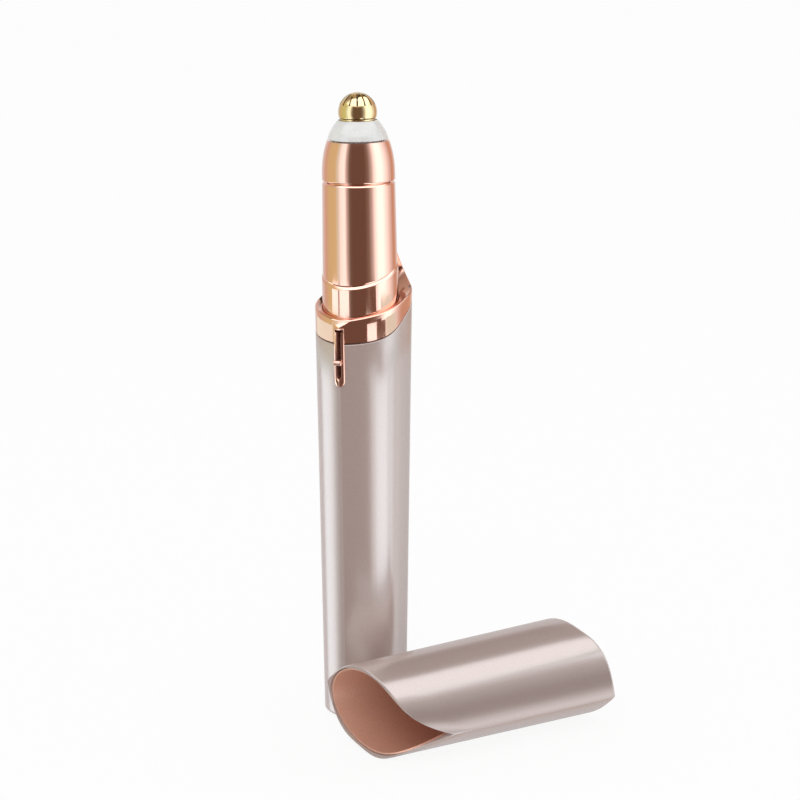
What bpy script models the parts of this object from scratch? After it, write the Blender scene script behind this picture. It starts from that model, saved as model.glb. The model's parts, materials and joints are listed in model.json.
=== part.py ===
"""A battery eyebrow trimmer standing on its base, with its cap lying beside it.

Lengths are in metres. The origin is on the axis of the round barrel, at the level of the base.
The trimmer is modelled with its front crest toward -Y and then turned as a whole by FRONT_TURN,
so that the cap, which lies along X, is where the user put it down.
"""

import math

import bmesh
import bpy
from mathutils import Matrix, Vector

# Clearances shared by all pieces
FIT = 0.0003
CLOSE_FIT = 0.0001
RUNNING_FIT = 0.00005
OVERRUN = 0.002
MERGE_DISTANCE = 0.000001

# Body: a lens-shaped tube with a crest at the front and one at the back
FRONT_CREST = 0.00215
BACK_CREST = 0.00215
BASE_CLEARANCE = 0.00025
RING_CREST = 0.0021
RING_SHOULDER = 0.00125
SHELL_WALL = 0.0010
SHELL_FLOOR = 0.0016
BASE_EDGE = 0.0007
LIP_EDGE = 0.00015
LENS_POWER = 3.2
TIP_SHARE = 1.15
SECTION_POINTS = 40
ROUND_POINTS = 26
SMALL_POINTS = 14
WIRE_HOLE_POINTS = 9
FRONT_TURN = math.radians(-56.2)

# Sweep: the S-shaped edge between body and ring, the ring's rim above it, and their shared tail
BODY_RISE = 0.0200
SWEEP_RISE = 0.0074
RING_HEIGHT = 0.0039
RIM_RISE = 0.0054
RIM_POWER = 0.85
TAIL_RISE = 0.0098
TAIL_HALF_WIDTH = 0.0082
TAIL_POWER = 2.1
SWEEP_STEPS = 4

# Shoulder ring with its switch tongue
RIM_LAND = 0.00025
DISH_DROP = 0.0005
DECK_THICKNESS = 0.0013
SKIRT_WALL = 0.0005
SKIRT_DEPTH = 0.0036
TONGUE_WIDTH = 0.0020
TONGUE_HEIGHT = 0.0106
TONGUE_RISE = 0.0025
TONGUE_PROUD = 0.0003
TONGUE_WALL = 0.0014
FACET_RISE = 0.0002
FACET_TILT = math.radians(35.0)
FACET_SIZE = 0.0040
SLOT_WIDTH = 0.0009
SLOT_MARGIN = 0.0015
SLOT_GROOVE_HEIGHT = 0.0014
SLOT_HEAD_WIDTH = 0.0018
SLOT_HEAD_HEIGHT = 0.0005
WINDOW_WIDTH = 0.0054
WINDOW_HEIGHT = 0.0110
WINDOW_DROP = 0.0017

# Switch
KNOB_REST = 0.0031
KNOB_WIDTH = 0.0016
KNOB_HEIGHT = 0.0009
KNOB_PROUD = 0.00055
KNOB_EDGE = 0.00018
STEM_HEIGHT = 0.0012
FLANGE_WIDTH = 0.0022
FLANGE_HEIGHT = 0.0026
FLANGE_THICKNESS = 0.0005
LEAF_WIDTH = 0.0018
LEAF_HEIGHT = 0.0024
LEAF_THICKNESS = 0.0002
BOARD_THICKNESS = 0.0008

# Neck collar and barrel
COLLAR_WALL = 0.00055
COLLAR_CREST_ANGLE = math.radians(5.0)
COLLAR_EDGE = 0.0004
COLLAR_HEIGHT = 0.0086
SLANT_SLOPE = 0.36
COLLAR_STEP = 0.00015
BARREL_TAPER = 0.0002
BARREL_HEIGHT = 0.0161
BARREL_WALL = 0.0007
BARREL_EDGE = 0.0003
SPIGOT_STEP = 0.0011
SPIGOT_WALL = 0.0010
SPIGOT_HEIGHT = 0.0037
BULKHEAD_THICKNESS = 0.0013

# Head: nose, light ring, slotted dome
NOSE_HEIGHT = 0.0075
NOSE_STEP = 0.00002
LIGHT_REACH = 0.00215
NOSE_POWER = 2.6
NOSE_EDGE = 0.0002
NOSE_CLEARANCE = 0.00015
NOSE_WALL = 0.0004
NOSE_LIP = 0.0010
NOSE_LIP_REACH = 0.0004
SEAL_RADIUS = 0.00022
SEAL_RISE = 0.0020
SEAL_GROOVE_DEPTH = 0.0004
LIGHT_STEP = 0.00015
LIGHT_LIP = 0.0002
LIGHT_HEIGHT = 0.0037
LIGHT_POWER = 1.5
LIGHT_SPIGOT_DEPTH = 0.0014
DOME_HEIGHT = 0.0073
DOME_RADIUS = 0.00355
DOME_RISE = 0.0036
DOME_WALL = 0.0004
DOME_SWEEP = math.radians(105.0)
DOME_NECKING = 0.00035
DOME_FLANGE_REACH = 0.0007
DOME_FLANGE_HEIGHT = 0.0004
DOME_SEAT_RISE = 0.0014
DOME_SLOTS = 14
DOME_SLOT_WIDTH = 0.0003
DOME_SLOT_INNER = 0.0013
DOME_SLOT_DROP = 0.0022
RETAINER_GAP = 0.00015
RETAINER_BORE = 0.0030
RETAINER_HEIGHT = 0.0012

# Cutter, spring and coupler
CUTTER_DEPTH = 0.0026
CUTTER_WALL = 0.0005
CUTTER_BLADES = 6
CUTTER_GAP_WIDTH = 0.0006
CUTTER_HUB_RADIUS = 0.0015
CUTTER_HUB_DROP = 0.0074
DRIVE_SQUARE = 0.0013
COUPLER_RADIUS = 0.0016
COUPLER_FLANGE_RADIUS = 0.0022
COUPLER_FLANGE_RISE = 0.0016
COUPLER_FLANGE_THICKNESS = 0.0006
DRIVE_DROP = 0.0051
CUTTER_TRAVEL = 0.0008
SPRING_WIRE = 0.00013
SPRING_RADIUS = 0.0013
SPRING_TURNS = 4

# Motor
MOTOR_RADIUS = 0.0050
MOTOR_CLEARANCE = 0.0005
MOTOR_LENGTH = 0.0150
MOTOR_SEAT_GAP = 0.0008
MOTOR_WALL = 0.0005
MOTOR_BOSS_RADIUS = 0.0014
MOTOR_BOSS_HEIGHT = 0.0012
BUSHING_RADIUS = 0.0009
BUSHING_FLANGE = 0.0006
SHAFT_RADIUS = 0.0005
SHAFT_TAIL = 0.0016
SHAFT_REACH = 0.0058
END_CAP_THICKNESS = 0.0019
END_CAP_PLUG = 0.0010
CORE_RISE = 0.0045
CORE_HEIGHT = 0.0067
CORE_HUB_RADIUS = 0.0012
CORE_LEG_WIDTH = 0.0010
CORE_SHOE_THICKNESS = 0.0006
CORE_POLES = 3
POLE_SPAN = math.radians(88.0)
WINDING_OVERHANG = 0.0006
COMMUTATOR_RADIUS = 0.0013
COMMUTATOR_RISE = 0.0018
COMMUTATOR_HEIGHT = 0.0018
MAGNET_THICKNESS_SHARE = 0.2
MAGNET_SPAN = math.radians(128.0)
MAGNET_OVERHANG = 0.0005
BRUSH_WIDTH = 0.0010
BRUSH_THICKNESS = 0.00015
BRUSH_LENGTH = 0.0036
TERMINAL_WIDTH = 0.0012
TERMINAL_THICKNESS = 0.0003
TERMINAL_DROP = 0.0022
TERMINAL_REACH = 0.0030

# Battery and its contacts
BATTERY_RADIUS = 0.00525
BATTERY_RISE = 0.0035
BATTERY_LENGTH = 0.0445
BATTERY_NUB_RADIUS = 0.0019
BATTERY_NUB_HEIGHT = 0.0010
BATTERY_EDGE = 0.0004
CONTACT_THICKNESS = 0.0002
CONTACT_WIDTH = 0.0050
STRIP_WIDTH = 0.0020
STRIP_RISE = 0.0070
BATTERY_SPRING_WIRE = 0.00025
BATTERY_SPRING_RADIUS = 0.0034
BATTERY_SPRING_TOP_RADIUS = 0.0020
BATTERY_SPRING_TURNS = 2.5

# Inner carrier that holds battery, motor and switch
CARRIER_FLOOR_GAP = 0.0004
CARRIER_HEADROOM = 0.0025
CARRIER_WALL = 0.0006
BATTERY_CLEARANCE = 0.0002
CARRIER_END = 0.0010
NECK_WALL = 0.0010
NECK_GAP = 0.0023
SCREW_RISE = 0.0035
SCREW_SPREAD = 0.0033
SCREW_RADIUS = 0.00055
SCREW_HEAD_RADIUS = 0.0010
SCREW_HEAD_HEIGHT = 0.0006
SCREW_LENGTH = 0.0068
SCREW_RECESS = 0.0010
SCREW_BOSS_RADIUS = 0.0014

# Light and wires
LED_BOARD_CLEARANCE = 0.0005
LED_BOARD_THICKNESS = 0.0006
LED_SIZE = 0.0014
LED_HEIGHT = 0.0006
LED_INSET = 0.0011
WIRE_RADIUS = 0.00035
LED_WIRE_RADIUS = 0.00015

# Cap: outer shell and copper-coloured liner, in the place where it closes
CAP_INSET = 0.00015
CAP_TAPER = 0.012
CAP_LENS_POWER = 3.0
CAP_WALL = 0.0005
CAP_TIP_WALL = 0.0010
CAP_LINER_WALL = 0.0003
CAP_LINER_SETBACK = 0.0004
CAP_LIP_EDGE = 0.00025
CAP_HEADROOM = 0.0070
CAP_END_SLOPE = 0.30
CAP_END_EDGE = 0.0010
CAP_END_WALL = 0.0012
CAP_X = -0.0185
CAP_Y = -0.0240
CAP_LEAN = math.radians(22.0)
SETTLE_STEPS = 12

# Radii and widths, each built on what it holds
CARRIER_BORE = BATTERY_RADIUS + BATTERY_CLEARANCE
BASE_HALF_WIDTH = CARRIER_BORE + CARRIER_WALL + SHELL_WALL + BASE_CLEARANCE
MAGNET_OUTER = MOTOR_RADIUS - MOTOR_WALL - CLOSE_FIT
MAGNET_INNER = MAGNET_OUTER - MAGNET_THICKNESS_SHARE * MOTOR_RADIUS
CORE_RADIUS = MAGNET_INNER - FIT
BARREL_BORE = MOTOR_RADIUS + MOTOR_CLEARANCE
BULKHEAD_HOLE = MOTOR_BOSS_RADIUS + FIT
NECK_RADIUS = BARREL_BORE - FIT
NECK_BORE = NECK_RADIUS - NECK_WALL
COLLAR_BORE = BARREL_BORE + BARREL_WALL + FIT
COLLAR_RADIUS = COLLAR_BORE + COLLAR_WALL
FRONT_REACH = COLLAR_RADIUS + FRONT_CREST
BASE_BACK_REACH = CARRIER_BORE + CARRIER_WALL + BACK_CREST
BASE_HALF_LENGTH = (FRONT_REACH + BASE_BACK_REACH) / 2
RING_HALF_WIDTH = COLLAR_RADIUS + RING_SHOULDER
RING_HALF_LENGTH = RING_HALF_WIDTH + RING_CREST
BARREL_FOOT_RADIUS = COLLAR_RADIUS - COLLAR_STEP
BARREL_TOP_RADIUS = BARREL_FOOT_RADIUS - BARREL_TAPER
SPIGOT_RADIUS = BARREL_TOP_RADIUS - SPIGOT_STEP
SPIGOT_BORE = SPIGOT_RADIUS - SPIGOT_WALL
NOSE_FOOT_RADIUS = BARREL_TOP_RADIUS + NOSE_STEP
NOSE_TOP_RADIUS = DOME_RADIUS + LIGHT_REACH
NOSE_BORE = SPIGOT_RADIUS + NOSE_CLEARANCE
NOSE_CHAMBER = NOSE_TOP_RADIUS - NOSE_WALL
NOSE_MOUTH = NOSE_CHAMBER - NOSE_LIP_REACH
DOME_SKIRT_RADIUS = DOME_RADIUS - DOME_NECKING
DOME_FLANGE_RADIUS = DOME_SKIRT_RADIUS + DOME_FLANGE_REACH
LIGHT_FOOT_RADIUS = NOSE_TOP_RADIUS - LIGHT_STEP
LIGHT_TOP_RADIUS = DOME_RADIUS + LIGHT_LIP
LIGHT_BORE = DOME_FLANGE_RADIUS + FIT
LIGHT_MOUTH = DOME_SKIRT_RADIUS + FIT
RETAINER_RADIUS = LIGHT_BORE - RETAINER_GAP
CUTTER_RADIUS = DOME_SKIRT_RADIUS - DOME_WALL - FIT
LED_BOARD_RADIUS = NOSE_CHAMBER - FIT
LED_BOARD_BORE = COUPLER_FLANGE_RADIUS + LED_BOARD_CLEARANCE
LED_RING_RADIUS = LED_BOARD_RADIUS - LED_INSET

# Levels from the floor up, each built on what lies below it
CARRIER_FOOT = SHELL_FLOOR + CARRIER_FLOOR_GAP
BATTERY_FOOT = CARRIER_FOOT + BATTERY_RISE
CARRIER_SPLIT = BATTERY_FOOT + BATTERY_LENGTH + CARRIER_HEADROOM
SCREW_LEVEL = CARRIER_SPLIT + SCREW_RISE
STRIP_TOP = CARRIER_SPLIT + STRIP_RISE
SWEEP_FRONT = CARRIER_SPLIT + BODY_RISE
TONGUE_TOP = SWEEP_FRONT + TONGUE_RISE
TONGUE_FOOT = TONGUE_TOP - TONGUE_HEIGHT
RING_LEVEL = TONGUE_TOP
FACET_FOOT = TONGUE_TOP + FACET_RISE
SLOT_FOOT = TONGUE_FOOT + SLOT_MARGIN
SLOT_TOP = TONGUE_TOP - SLOT_GROOVE_HEIGHT
KNOB_LEVEL = SLOT_FOOT + KNOB_REST
WINDOW_FOOT = TONGUE_FOOT - WINDOW_DROP
RIM_FRONT = SWEEP_FRONT + RING_HEIGHT
BARREL_FOOT = RIM_FRONT + CLOSE_FIT
CARRIER_TOP = BARREL_FOOT - FIT
SLANT_LEVEL = RIM_FRONT + COLLAR_HEIGHT
BARREL_TOP = SLANT_LEVEL + BARREL_HEIGHT
SPIGOT_TOP = BARREL_TOP + SPIGOT_HEIGHT
MOTOR_TOP = BARREL_TOP - BULKHEAD_THICKNESS - MOTOR_SEAT_GAP
MOTOR_BOSS_TOP = MOTOR_TOP + MOTOR_BOSS_HEIGHT
MOTOR_FOOT = MOTOR_TOP - MOTOR_LENGTH
NECK_TOP = MOTOR_FOOT - NECK_GAP
SHAFT_FOOT = MOTOR_FOOT - SHAFT_TAIL
SHAFT_TOP = MOTOR_TOP + SHAFT_REACH
CORE_FOOT = MOTOR_FOOT + CORE_RISE
CORE_TOP = CORE_FOOT + CORE_HEIGHT
COMMUTATOR_FOOT = MOTOR_FOOT + COMMUTATOR_RISE
COMMUTATOR_TOP = COMMUTATOR_FOOT + COMMUTATOR_HEIGHT
SEAL_LEVEL = BARREL_TOP + SEAL_RISE
NOSE_TOP = BARREL_TOP + NOSE_HEIGHT
LIGHT_TOP = NOSE_TOP + LIGHT_HEIGHT
DOME_FOOT = NOSE_TOP + DOME_SEAT_RISE
DOME_TOP = DOME_FOOT + DOME_HEIGHT
DOME_SLOT_FOOT = DOME_TOP - DOME_SLOT_DROP
CUTTER_HUB_FOOT = DOME_TOP - CUTTER_HUB_DROP
DRIVE_TOP = DOME_TOP - DRIVE_DROP
COUPLER_FOOT = BARREL_TOP + FIT
COUPLER_FLANGE_LEVEL = SPIGOT_TOP + COUPLER_FLANGE_RISE
CAP_END_LEVEL = DOME_TOP + CAP_HEADROOM


def material(name, colour, roughness, metallic=0.0, transmission=0.0):
    made = bpy.data.materials.new(name)
    made.use_nodes = True
    shader = made.node_tree.nodes["Principled BSDF"]
    shader.inputs["Base Color"].default_value = (*colour, 1.0)
    shader.inputs["Roughness"].default_value = roughness
    shader.inputs["Metallic"].default_value = metallic
    shader.inputs["Transmission Weight"].default_value = transmission
    return made


def clear_scene():
    for thing in list(bpy.data.objects):
        bpy.data.objects.remove(thing, do_unlink=True)


def collection(name, helpers=False):
    made = bpy.data.collections.new(name)
    bpy.context.scene.collection.children.link(made)
    made.hide_render = helpers
    return made


clear_scene()
PARTS = collection("eyebrow_trimmer")
CUTTERS = collection("cutters", helpers=True)

PEARL = material("pearl_plastic", (0.62, 0.55, 0.53), 0.28, 0.85)
ROSE_GOLD = material("rose_gold_plating", (0.83, 0.47, 0.34), 0.10, 1.0)
COPPER = material("copper_lining", (0.58, 0.26, 0.18), 0.35, 0.8)
GOLD = material("gold_plating", (0.83, 0.62, 0.25), 0.15, 1.0)
MILKY = material("milky_plastic", (0.92, 0.92, 0.90), 0.35)
STEEL = material("steel", (0.60, 0.60, 0.60), 0.30, 1.0)
BRASS = material("brass", (0.75, 0.58, 0.28), 0.30, 1.0)
BRONZE = material("sintered_bronze", (0.50, 0.35, 0.20), 0.50, 1.0)
ABS_BLACK = material("black_plastic", (0.03, 0.03, 0.03), 0.50)
ABS_WHITE = material("white_plastic", (0.80, 0.80, 0.78), 0.45)
RUBBER = material("rubber", (0.02, 0.02, 0.02), 0.70)
FERRITE = material("ferrite", (0.06, 0.06, 0.07), 0.60)
WIRE_COPPER = material("enamelled_copper", (0.60, 0.25, 0.10), 0.30, 0.9)
BOARD_GREEN = material("circuit_board", (0.03, 0.18, 0.08), 0.50)
LED_YELLOW = material("led_phosphor", (0.90, 0.80, 0.35), 0.40)
JACKET = material("battery_jacket", (0.10, 0.12, 0.14), 0.40)
INSULATION = material("wire_insulation", (0.45, 0.04, 0.04), 0.50)


def empty(name, location=(0, 0, 0), parent=None):
    made = bpy.data.objects.new(name, None)
    made.location = location
    made.parent = parent
    PARTS.objects.link(made)
    return made


TRIMMER = empty("trimmer")
TRIMMER.rotation_euler = (0, 0, FRONT_TURN)


def place(name, mesh, finish=None, parent=TRIMMER, smooth=True):
    made = bpy.data.objects.new(name, mesh)
    made.parent = parent
    if finish is None:
        CUTTERS.objects.link(made)
        made.hide_render = True
        made.display_type = "WIRE"
        return made
    PARTS.objects.link(made)
    mesh.materials.append(finish)
    if smooth:
        mesh.shade_smooth()
        mesh.set_sharp_from_angle(angle=math.radians(30.0))
    return made


def boolean(target, tool, operation="DIFFERENCE"):
    step = target.modifiers.new(tool.name, "BOOLEAN")
    step.operation = operation
    step.object = tool
    return target


def loft(name, rings, finish=None, parent=TRIMMER, closed=False):
    """Bridges rings of points. A closed loft joins the last ring to the first, another is capped."""
    mesh = bpy.data.meshes.new(name)
    shape = bmesh.new()
    rows = [[shape.verts.new(point) for point in ring] for ring in rings]
    count = len(rows[0])
    pairs = list(zip(rows, rows[1:]))
    if closed:
        pairs.append((rows[-1], rows[0]))
    else:
        shape.faces.new(list(reversed(rows[0])))
        shape.faces.new(rows[-1])
    for low, high in pairs:
        for i in range(count):
            j = (i + 1) % count
            shape.faces.new((low[i], low[j], high[j], high[i]))
    bmesh.ops.recalc_face_normals(shape, faces=shape.faces)
    shape.to_mesh(mesh)
    shape.free()
    return place(name, mesh, finish, parent)


def turned(name, profile, finish=None, parent=TRIMMER, points=ROUND_POINTS, closed=True, axis=(0, 0)):
    """Turns a profile of (radius, height), which runs down its outer side, about the Z axis."""
    mesh = bpy.data.meshes.new(name)
    shape = bmesh.new()
    corners = [shape.verts.new((radius, 0, height)) for radius, height in profile]
    for first, second in zip(corners, corners[1:]):
        shape.edges.new((first, second))
    if closed:
        shape.edges.new((corners[-1], corners[0]))
    shape.to_mesh(mesh)
    shape.free()
    made = place(name, mesh, finish, parent, smooth=False)
    made.location = (axis[0], axis[1], 0)
    screw = made.modifiers.new("turn", "SCREW")
    screw.steps = points
    screw.render_steps = points
    screw.use_merge_vertices = True
    screw.merge_threshold = MERGE_DISTANCE
    screw.use_smooth_shade = True
    return made


def prism(name, outline, start, depth, direction, finish=None, parent=TRIMMER):
    """Extrudes a flat outline. Direction Y takes (x, z) points, direction Z takes (x, y) points."""
    if direction == "Y":
        rings = [[(x, start + step, z) for x, z in outline] for step in (0, depth)]
    else:
        rings = [[(x, y, start + step) for x, y in outline] for step in (0, depth)]
    return loft(name, rings, finish, parent)


def box(name, size, centre, finish=None, parent=TRIMMER, edge=0.0):
    mesh = bpy.data.meshes.new(name)
    shape = bmesh.new()
    bmesh.ops.create_cube(shape, size=1.0, matrix=Matrix.Diagonal((*size, 1.0)))
    shape.to_mesh(mesh)
    shape.free()
    made = place(name, mesh, finish, parent, smooth=False)
    made.location = centre
    if edge:
        bevel = made.modifiers.new("edges", "BEVEL")
        bevel.width = edge
        bevel.segments = 2
    return made


def cylinder(name, radius, start, end, finish=None, parent=TRIMMER, points=SMALL_POINTS):
    """A plain cylinder between two points."""
    first = Vector(start)
    along = Vector(end) - first
    mesh = bpy.data.meshes.new(name)
    shape = bmesh.new()
    bmesh.ops.create_cone(shape, cap_ends=True, segments=points, radius1=radius, radius2=radius, depth=along.length)
    shape.to_mesh(mesh)
    shape.free()
    made = place(name, mesh, finish, parent)
    made.location = first + along / 2
    made.rotation_euler = along.to_track_quat("Z", "Y").to_euler()
    return made


def wire(name, points, radius, finish, parent=TRIMMER):
    curve = bpy.data.curves.new(name, "CURVE")
    curve.dimensions = "3D"
    curve.bevel_depth = radius
    curve.bevel_resolution = 1
    curve.use_fill_caps = True
    spline = curve.splines.new("POLY")
    spline.points.add(len(points) - 1)
    for target, point in zip(spline.points, points):
        target.co = (*point, 1.0)
    curve.materials.append(finish)
    made = bpy.data.objects.new(name, curve)
    made.parent = parent
    PARTS.objects.link(made)
    return made


def angle_of(index, count=SECTION_POINTS):
    return 2 * math.pi * index / count


def between(first, last, share):
    return first + (last - first) * share


def lens_point(index, half_length, half_width, centre_y, power=LENS_POWER):
    """Point on a lens outline. Index 0 is the front crest and half way round is the back crest."""
    angle = angle_of(index)
    along = -math.cos(angle)
    side = 1 if math.sin(angle) >= 0 else -1
    across = max(0.0, 1 - abs(along) ** power)
    return side * half_width * across, centre_y + half_length * along


def cap_lens_point(index, half_length, half_width, centre_y):
    return lens_point(index, half_length, half_width, centre_y, CAP_LENS_POWER)


def oval_point(index, half_length, half_width, centre_y):
    angle = angle_of(index)
    return half_width * math.sin(angle), centre_y - half_length * math.cos(angle)


def body_point(index, level, inset=0.0):
    """Point on the body's outline at a level, moved in by a wall thickness."""
    share = level / RING_LEVEL
    half_length = between(BASE_HALF_LENGTH, RING_HALF_LENGTH, share)
    half_width = between(BASE_HALF_WIDTH, RING_HALF_WIDTH, share)
    centre = half_length - FRONT_REACH
    return lens_point(index, half_length - TIP_SHARE * inset, half_width - inset, centre)


def depth_share(y):
    """How far a depth y lies from the front crest to the back crest."""
    return min(1.0, max(0.0, (y + FRONT_REACH) / (2 * RING_HALF_LENGTH)))


def sweep(y):
    """Height of the swept lower edge of the ring, without its tail."""
    share = depth_share(y)
    return SWEEP_FRONT + SWEEP_RISE * share * share * (3 - 2 * share)


def rim(y):
    """Height of the ring's upper edge, without its tail. It dips to the front crest."""
    return RIM_FRONT + RIM_RISE * depth_share(y) ** RIM_POWER


def tail(x, y):
    """How much higher both edges run to their pointed tail at the back crest."""
    if y < RING_HALF_LENGTH - FRONT_REACH:
        return 0.0
    return TAIL_RISE * max(0.0, 1 - abs(x) / TAIL_HALF_WIDTH) ** TAIL_POWER


def edge_height(x, y, above=0.0):
    return sweep(y) + tail(x, y) + above


def rim_height(x, y, above=0.0):
    return rim(y) + tail(x, y) + above


def settled_point(index, outline, height):
    """A point whose height follows from its place on the outline, which follows from its height."""
    level = RING_LEVEL
    for _ in range(SWEEP_STEPS):
        x, y = outline(index, level)
        level = height(x, y)
    return x, y, level


def body_ring(height, inset=0.0):
    """A ring on the body's outline. Height is a level, or a function of x and y."""
    if not callable(height):
        return [(*body_point(i, height, inset), height) for i in range(SECTION_POINTS)]
    return [settled_point(i, lambda n, z: body_point(n, z, inset), height) for i in range(SECTION_POINTS)]


def circle_ring(radius, height):
    """A ring of points round the barrel axis, matched to the lens rings. Radius may depend on angle."""
    ring = []
    for i in range(SECTION_POINTS):
        angle = angle_of(i)
        reach = radius(angle) if callable(radius) else radius
        x, y = reach * math.sin(angle), -reach * math.cos(angle)
        ring.append((x, y, height(x, y) if callable(height) else height))
    return ring


def collar_outline(radius):
    """A circle drawn out to a low crest at front and back, tangent to the circle on both sides."""
    def reach(angle):
        from_crest = min(abs(math.remainder(angle, math.pi)), math.pi / 2)
        return radius / math.cos(max(0.0, COLLAR_CREST_ANGLE - from_crest))
    return reach


def slant(y, above=0.0):
    return SLANT_LEVEL + SLANT_SLOPE * y + above


def rounded_bar(width, foot, top):
    """Outline in x and z of an upright bar with a round foot."""
    radius = width / 2
    arc = [math.pi + math.pi * i / SMALL_POINTS for i in range(SMALL_POINTS + 1)]
    points = [(radius * math.cos(a), foot + radius + radius * math.sin(a)) for a in arc]
    return points + [(radius, top), (-radius, top)]


def front_window(name, width, foot, top, outer, inner):
    """A cutter through the front wall between two depths, with a round foot."""
    return prism(name, rounded_bar(width, foot, top), -outer, outer - inner, "Y")


def make_body_shell():
    edge = lambda x, y: edge_height(x, y, -FIT)
    below_edge = lambda x, y: edge_height(x, y, -FIT - LIP_EDGE)
    middle = [body_ring(lambda x, y, s=s: between(BASE_EDGE, below_edge(x, y), s)) for s in (1 / 3, 2 / 3)]
    rings = [
        body_ring(0.0, BASE_EDGE),
        body_ring(BASE_EDGE / 4, BASE_EDGE / 4),
        body_ring(BASE_EDGE),
        *middle,
        body_ring(below_edge),
        body_ring(edge, LIP_EDGE),
        body_ring(edge, SHELL_WALL),
        body_ring(SHELL_FLOOR, SHELL_WALL),
    ]
    shell = loft("body_shell", rings, PEARL)
    notch = front_window(
        "shell_notch", TONGUE_WIDTH + 2 * FIT, TONGUE_FOOT - FIT, SWEEP_FRONT + OVERRUN,
        FRONT_REACH + OVERRUN, FRONT_REACH - OVERRUN - SHELL_WALL,
    )
    return boolean(shell, notch)


def ring_seat(y):
    """Level of the ledge that the collar stands on."""
    return rim(y) - DISH_DROP - DECK_THICKNESS


def make_shoulder_ring():
    skirt_out = SHELL_WALL + FIT
    skirt_in = skirt_out + SKIRT_WALL
    hole = collar_outline(COLLAR_RADIUS + FIT)
    dish = lambda x, y: rim(y) - DISH_DROP
    seat = lambda x, y: ring_seat(y)
    skirt_foot = lambda x, y: sweep(y) - SKIRT_DEPTH
    rings = [
        body_ring(edge_height),
        body_ring(lambda x, y: rim_height(x, y, -RIM_LAND)),
        body_ring(rim_height, RIM_LAND),
        circle_ring(hole, dish),
        circle_ring(hole, seat),
        body_ring(seat, skirt_in),
        body_ring(skirt_foot, skirt_in),
        body_ring(skirt_foot, skirt_out),
        body_ring(edge_height, skirt_out),
    ]
    ring = loft("shoulder_ring", rings, ROSE_GOLD, closed=True)
    boolean(ring, make_tongue(), "UNION")
    opening = front_window(
        "skirt_window", WINDOW_WIDTH, SWEEP_FRONT - SKIRT_DEPTH - OVERRUN, ring_seat(-FRONT_REACH) - FIT,
        FRONT_REACH + TONGUE_PROUD - TONGUE_WALL, NECK_RADIUS,
    )
    boolean(ring, opening)
    slot = front_window(
        "tongue_slot", SLOT_WIDTH, SLOT_FOOT, SLOT_TOP, FRONT_REACH + OVERRUN, NECK_RADIUS,
    )
    boolean(ring, slot)
    cut_slot_head(ring)
    return cut_front_facet(ring)


def cut_front_facet(ring):
    """A flat that leans back over the tongue. It cuts the crest to a bright triangle."""
    half = FACET_SIZE / 2
    depth = half / math.cos(FACET_TILT)
    facet = box(
        "front_facet", (2 * FACET_SIZE, FACET_SIZE, 2 * FACET_SIZE),
        (0, -FRONT_REACH - TONGUE_PROUD / 2 - depth, FACET_FOOT),
    )
    facet.rotation_euler = (-FACET_TILT, 0, 0)
    return boolean(ring, facet)


def cut_slot_head(ring):
    """The slot runs on as a blind groove and ends in a short crossbar, like a T."""
    depth = 2 * TONGUE_PROUD + SHELL_WALL
    front = -FRONT_REACH - TONGUE_PROUD
    groove_foot = SLOT_TOP - SLOT_WIDTH / 2
    groove_top = TONGUE_TOP - SLOT_HEAD_HEIGHT / 2
    groove_size = (SLOT_WIDTH - 2 * MERGE_DISTANCE, depth, groove_top - groove_foot)
    groove = box("slot_groove", groove_size, (0, front, (groove_top + groove_foot) / 2))
    head_size = (SLOT_HEAD_WIDTH, depth, SLOT_HEAD_HEIGHT)
    head = box("slot_head", head_size, (0, front, TONGUE_TOP - SLOT_HEAD_HEIGHT / 2))
    boolean(groove, head, "UNION")
    return boolean(ring, groove)


def make_tongue():
    """The raised U-shaped tongue that hangs from the ring and frames the switch slot."""
    inner = TONGUE_WALL - TONGUE_PROUD
    foot = TONGUE_FOOT - OVERRUN
    rings = [body_ring(foot, -TONGUE_PROUD), body_ring(TONGUE_TOP, -TONGUE_PROUD)]
    rings += [body_ring(TONGUE_TOP, inner), body_ring(foot, inner)]
    band = loft("tongue", rings, closed=True)
    outline = rounded_bar(TONGUE_WIDTH, TONGUE_FOOT, TONGUE_TOP + OVERRUN)
    shape = prism("tongue_shape", outline, -FRONT_REACH - OVERRUN, 2 * OVERRUN, "Y")
    return boolean(band, shape, "INTERSECT")


def tongue_back():
    """Depth of the tongue's inner crest below the front."""
    return -FRONT_REACH - TONGUE_PROUD + TONGUE_WALL * TIP_SHARE


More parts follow.
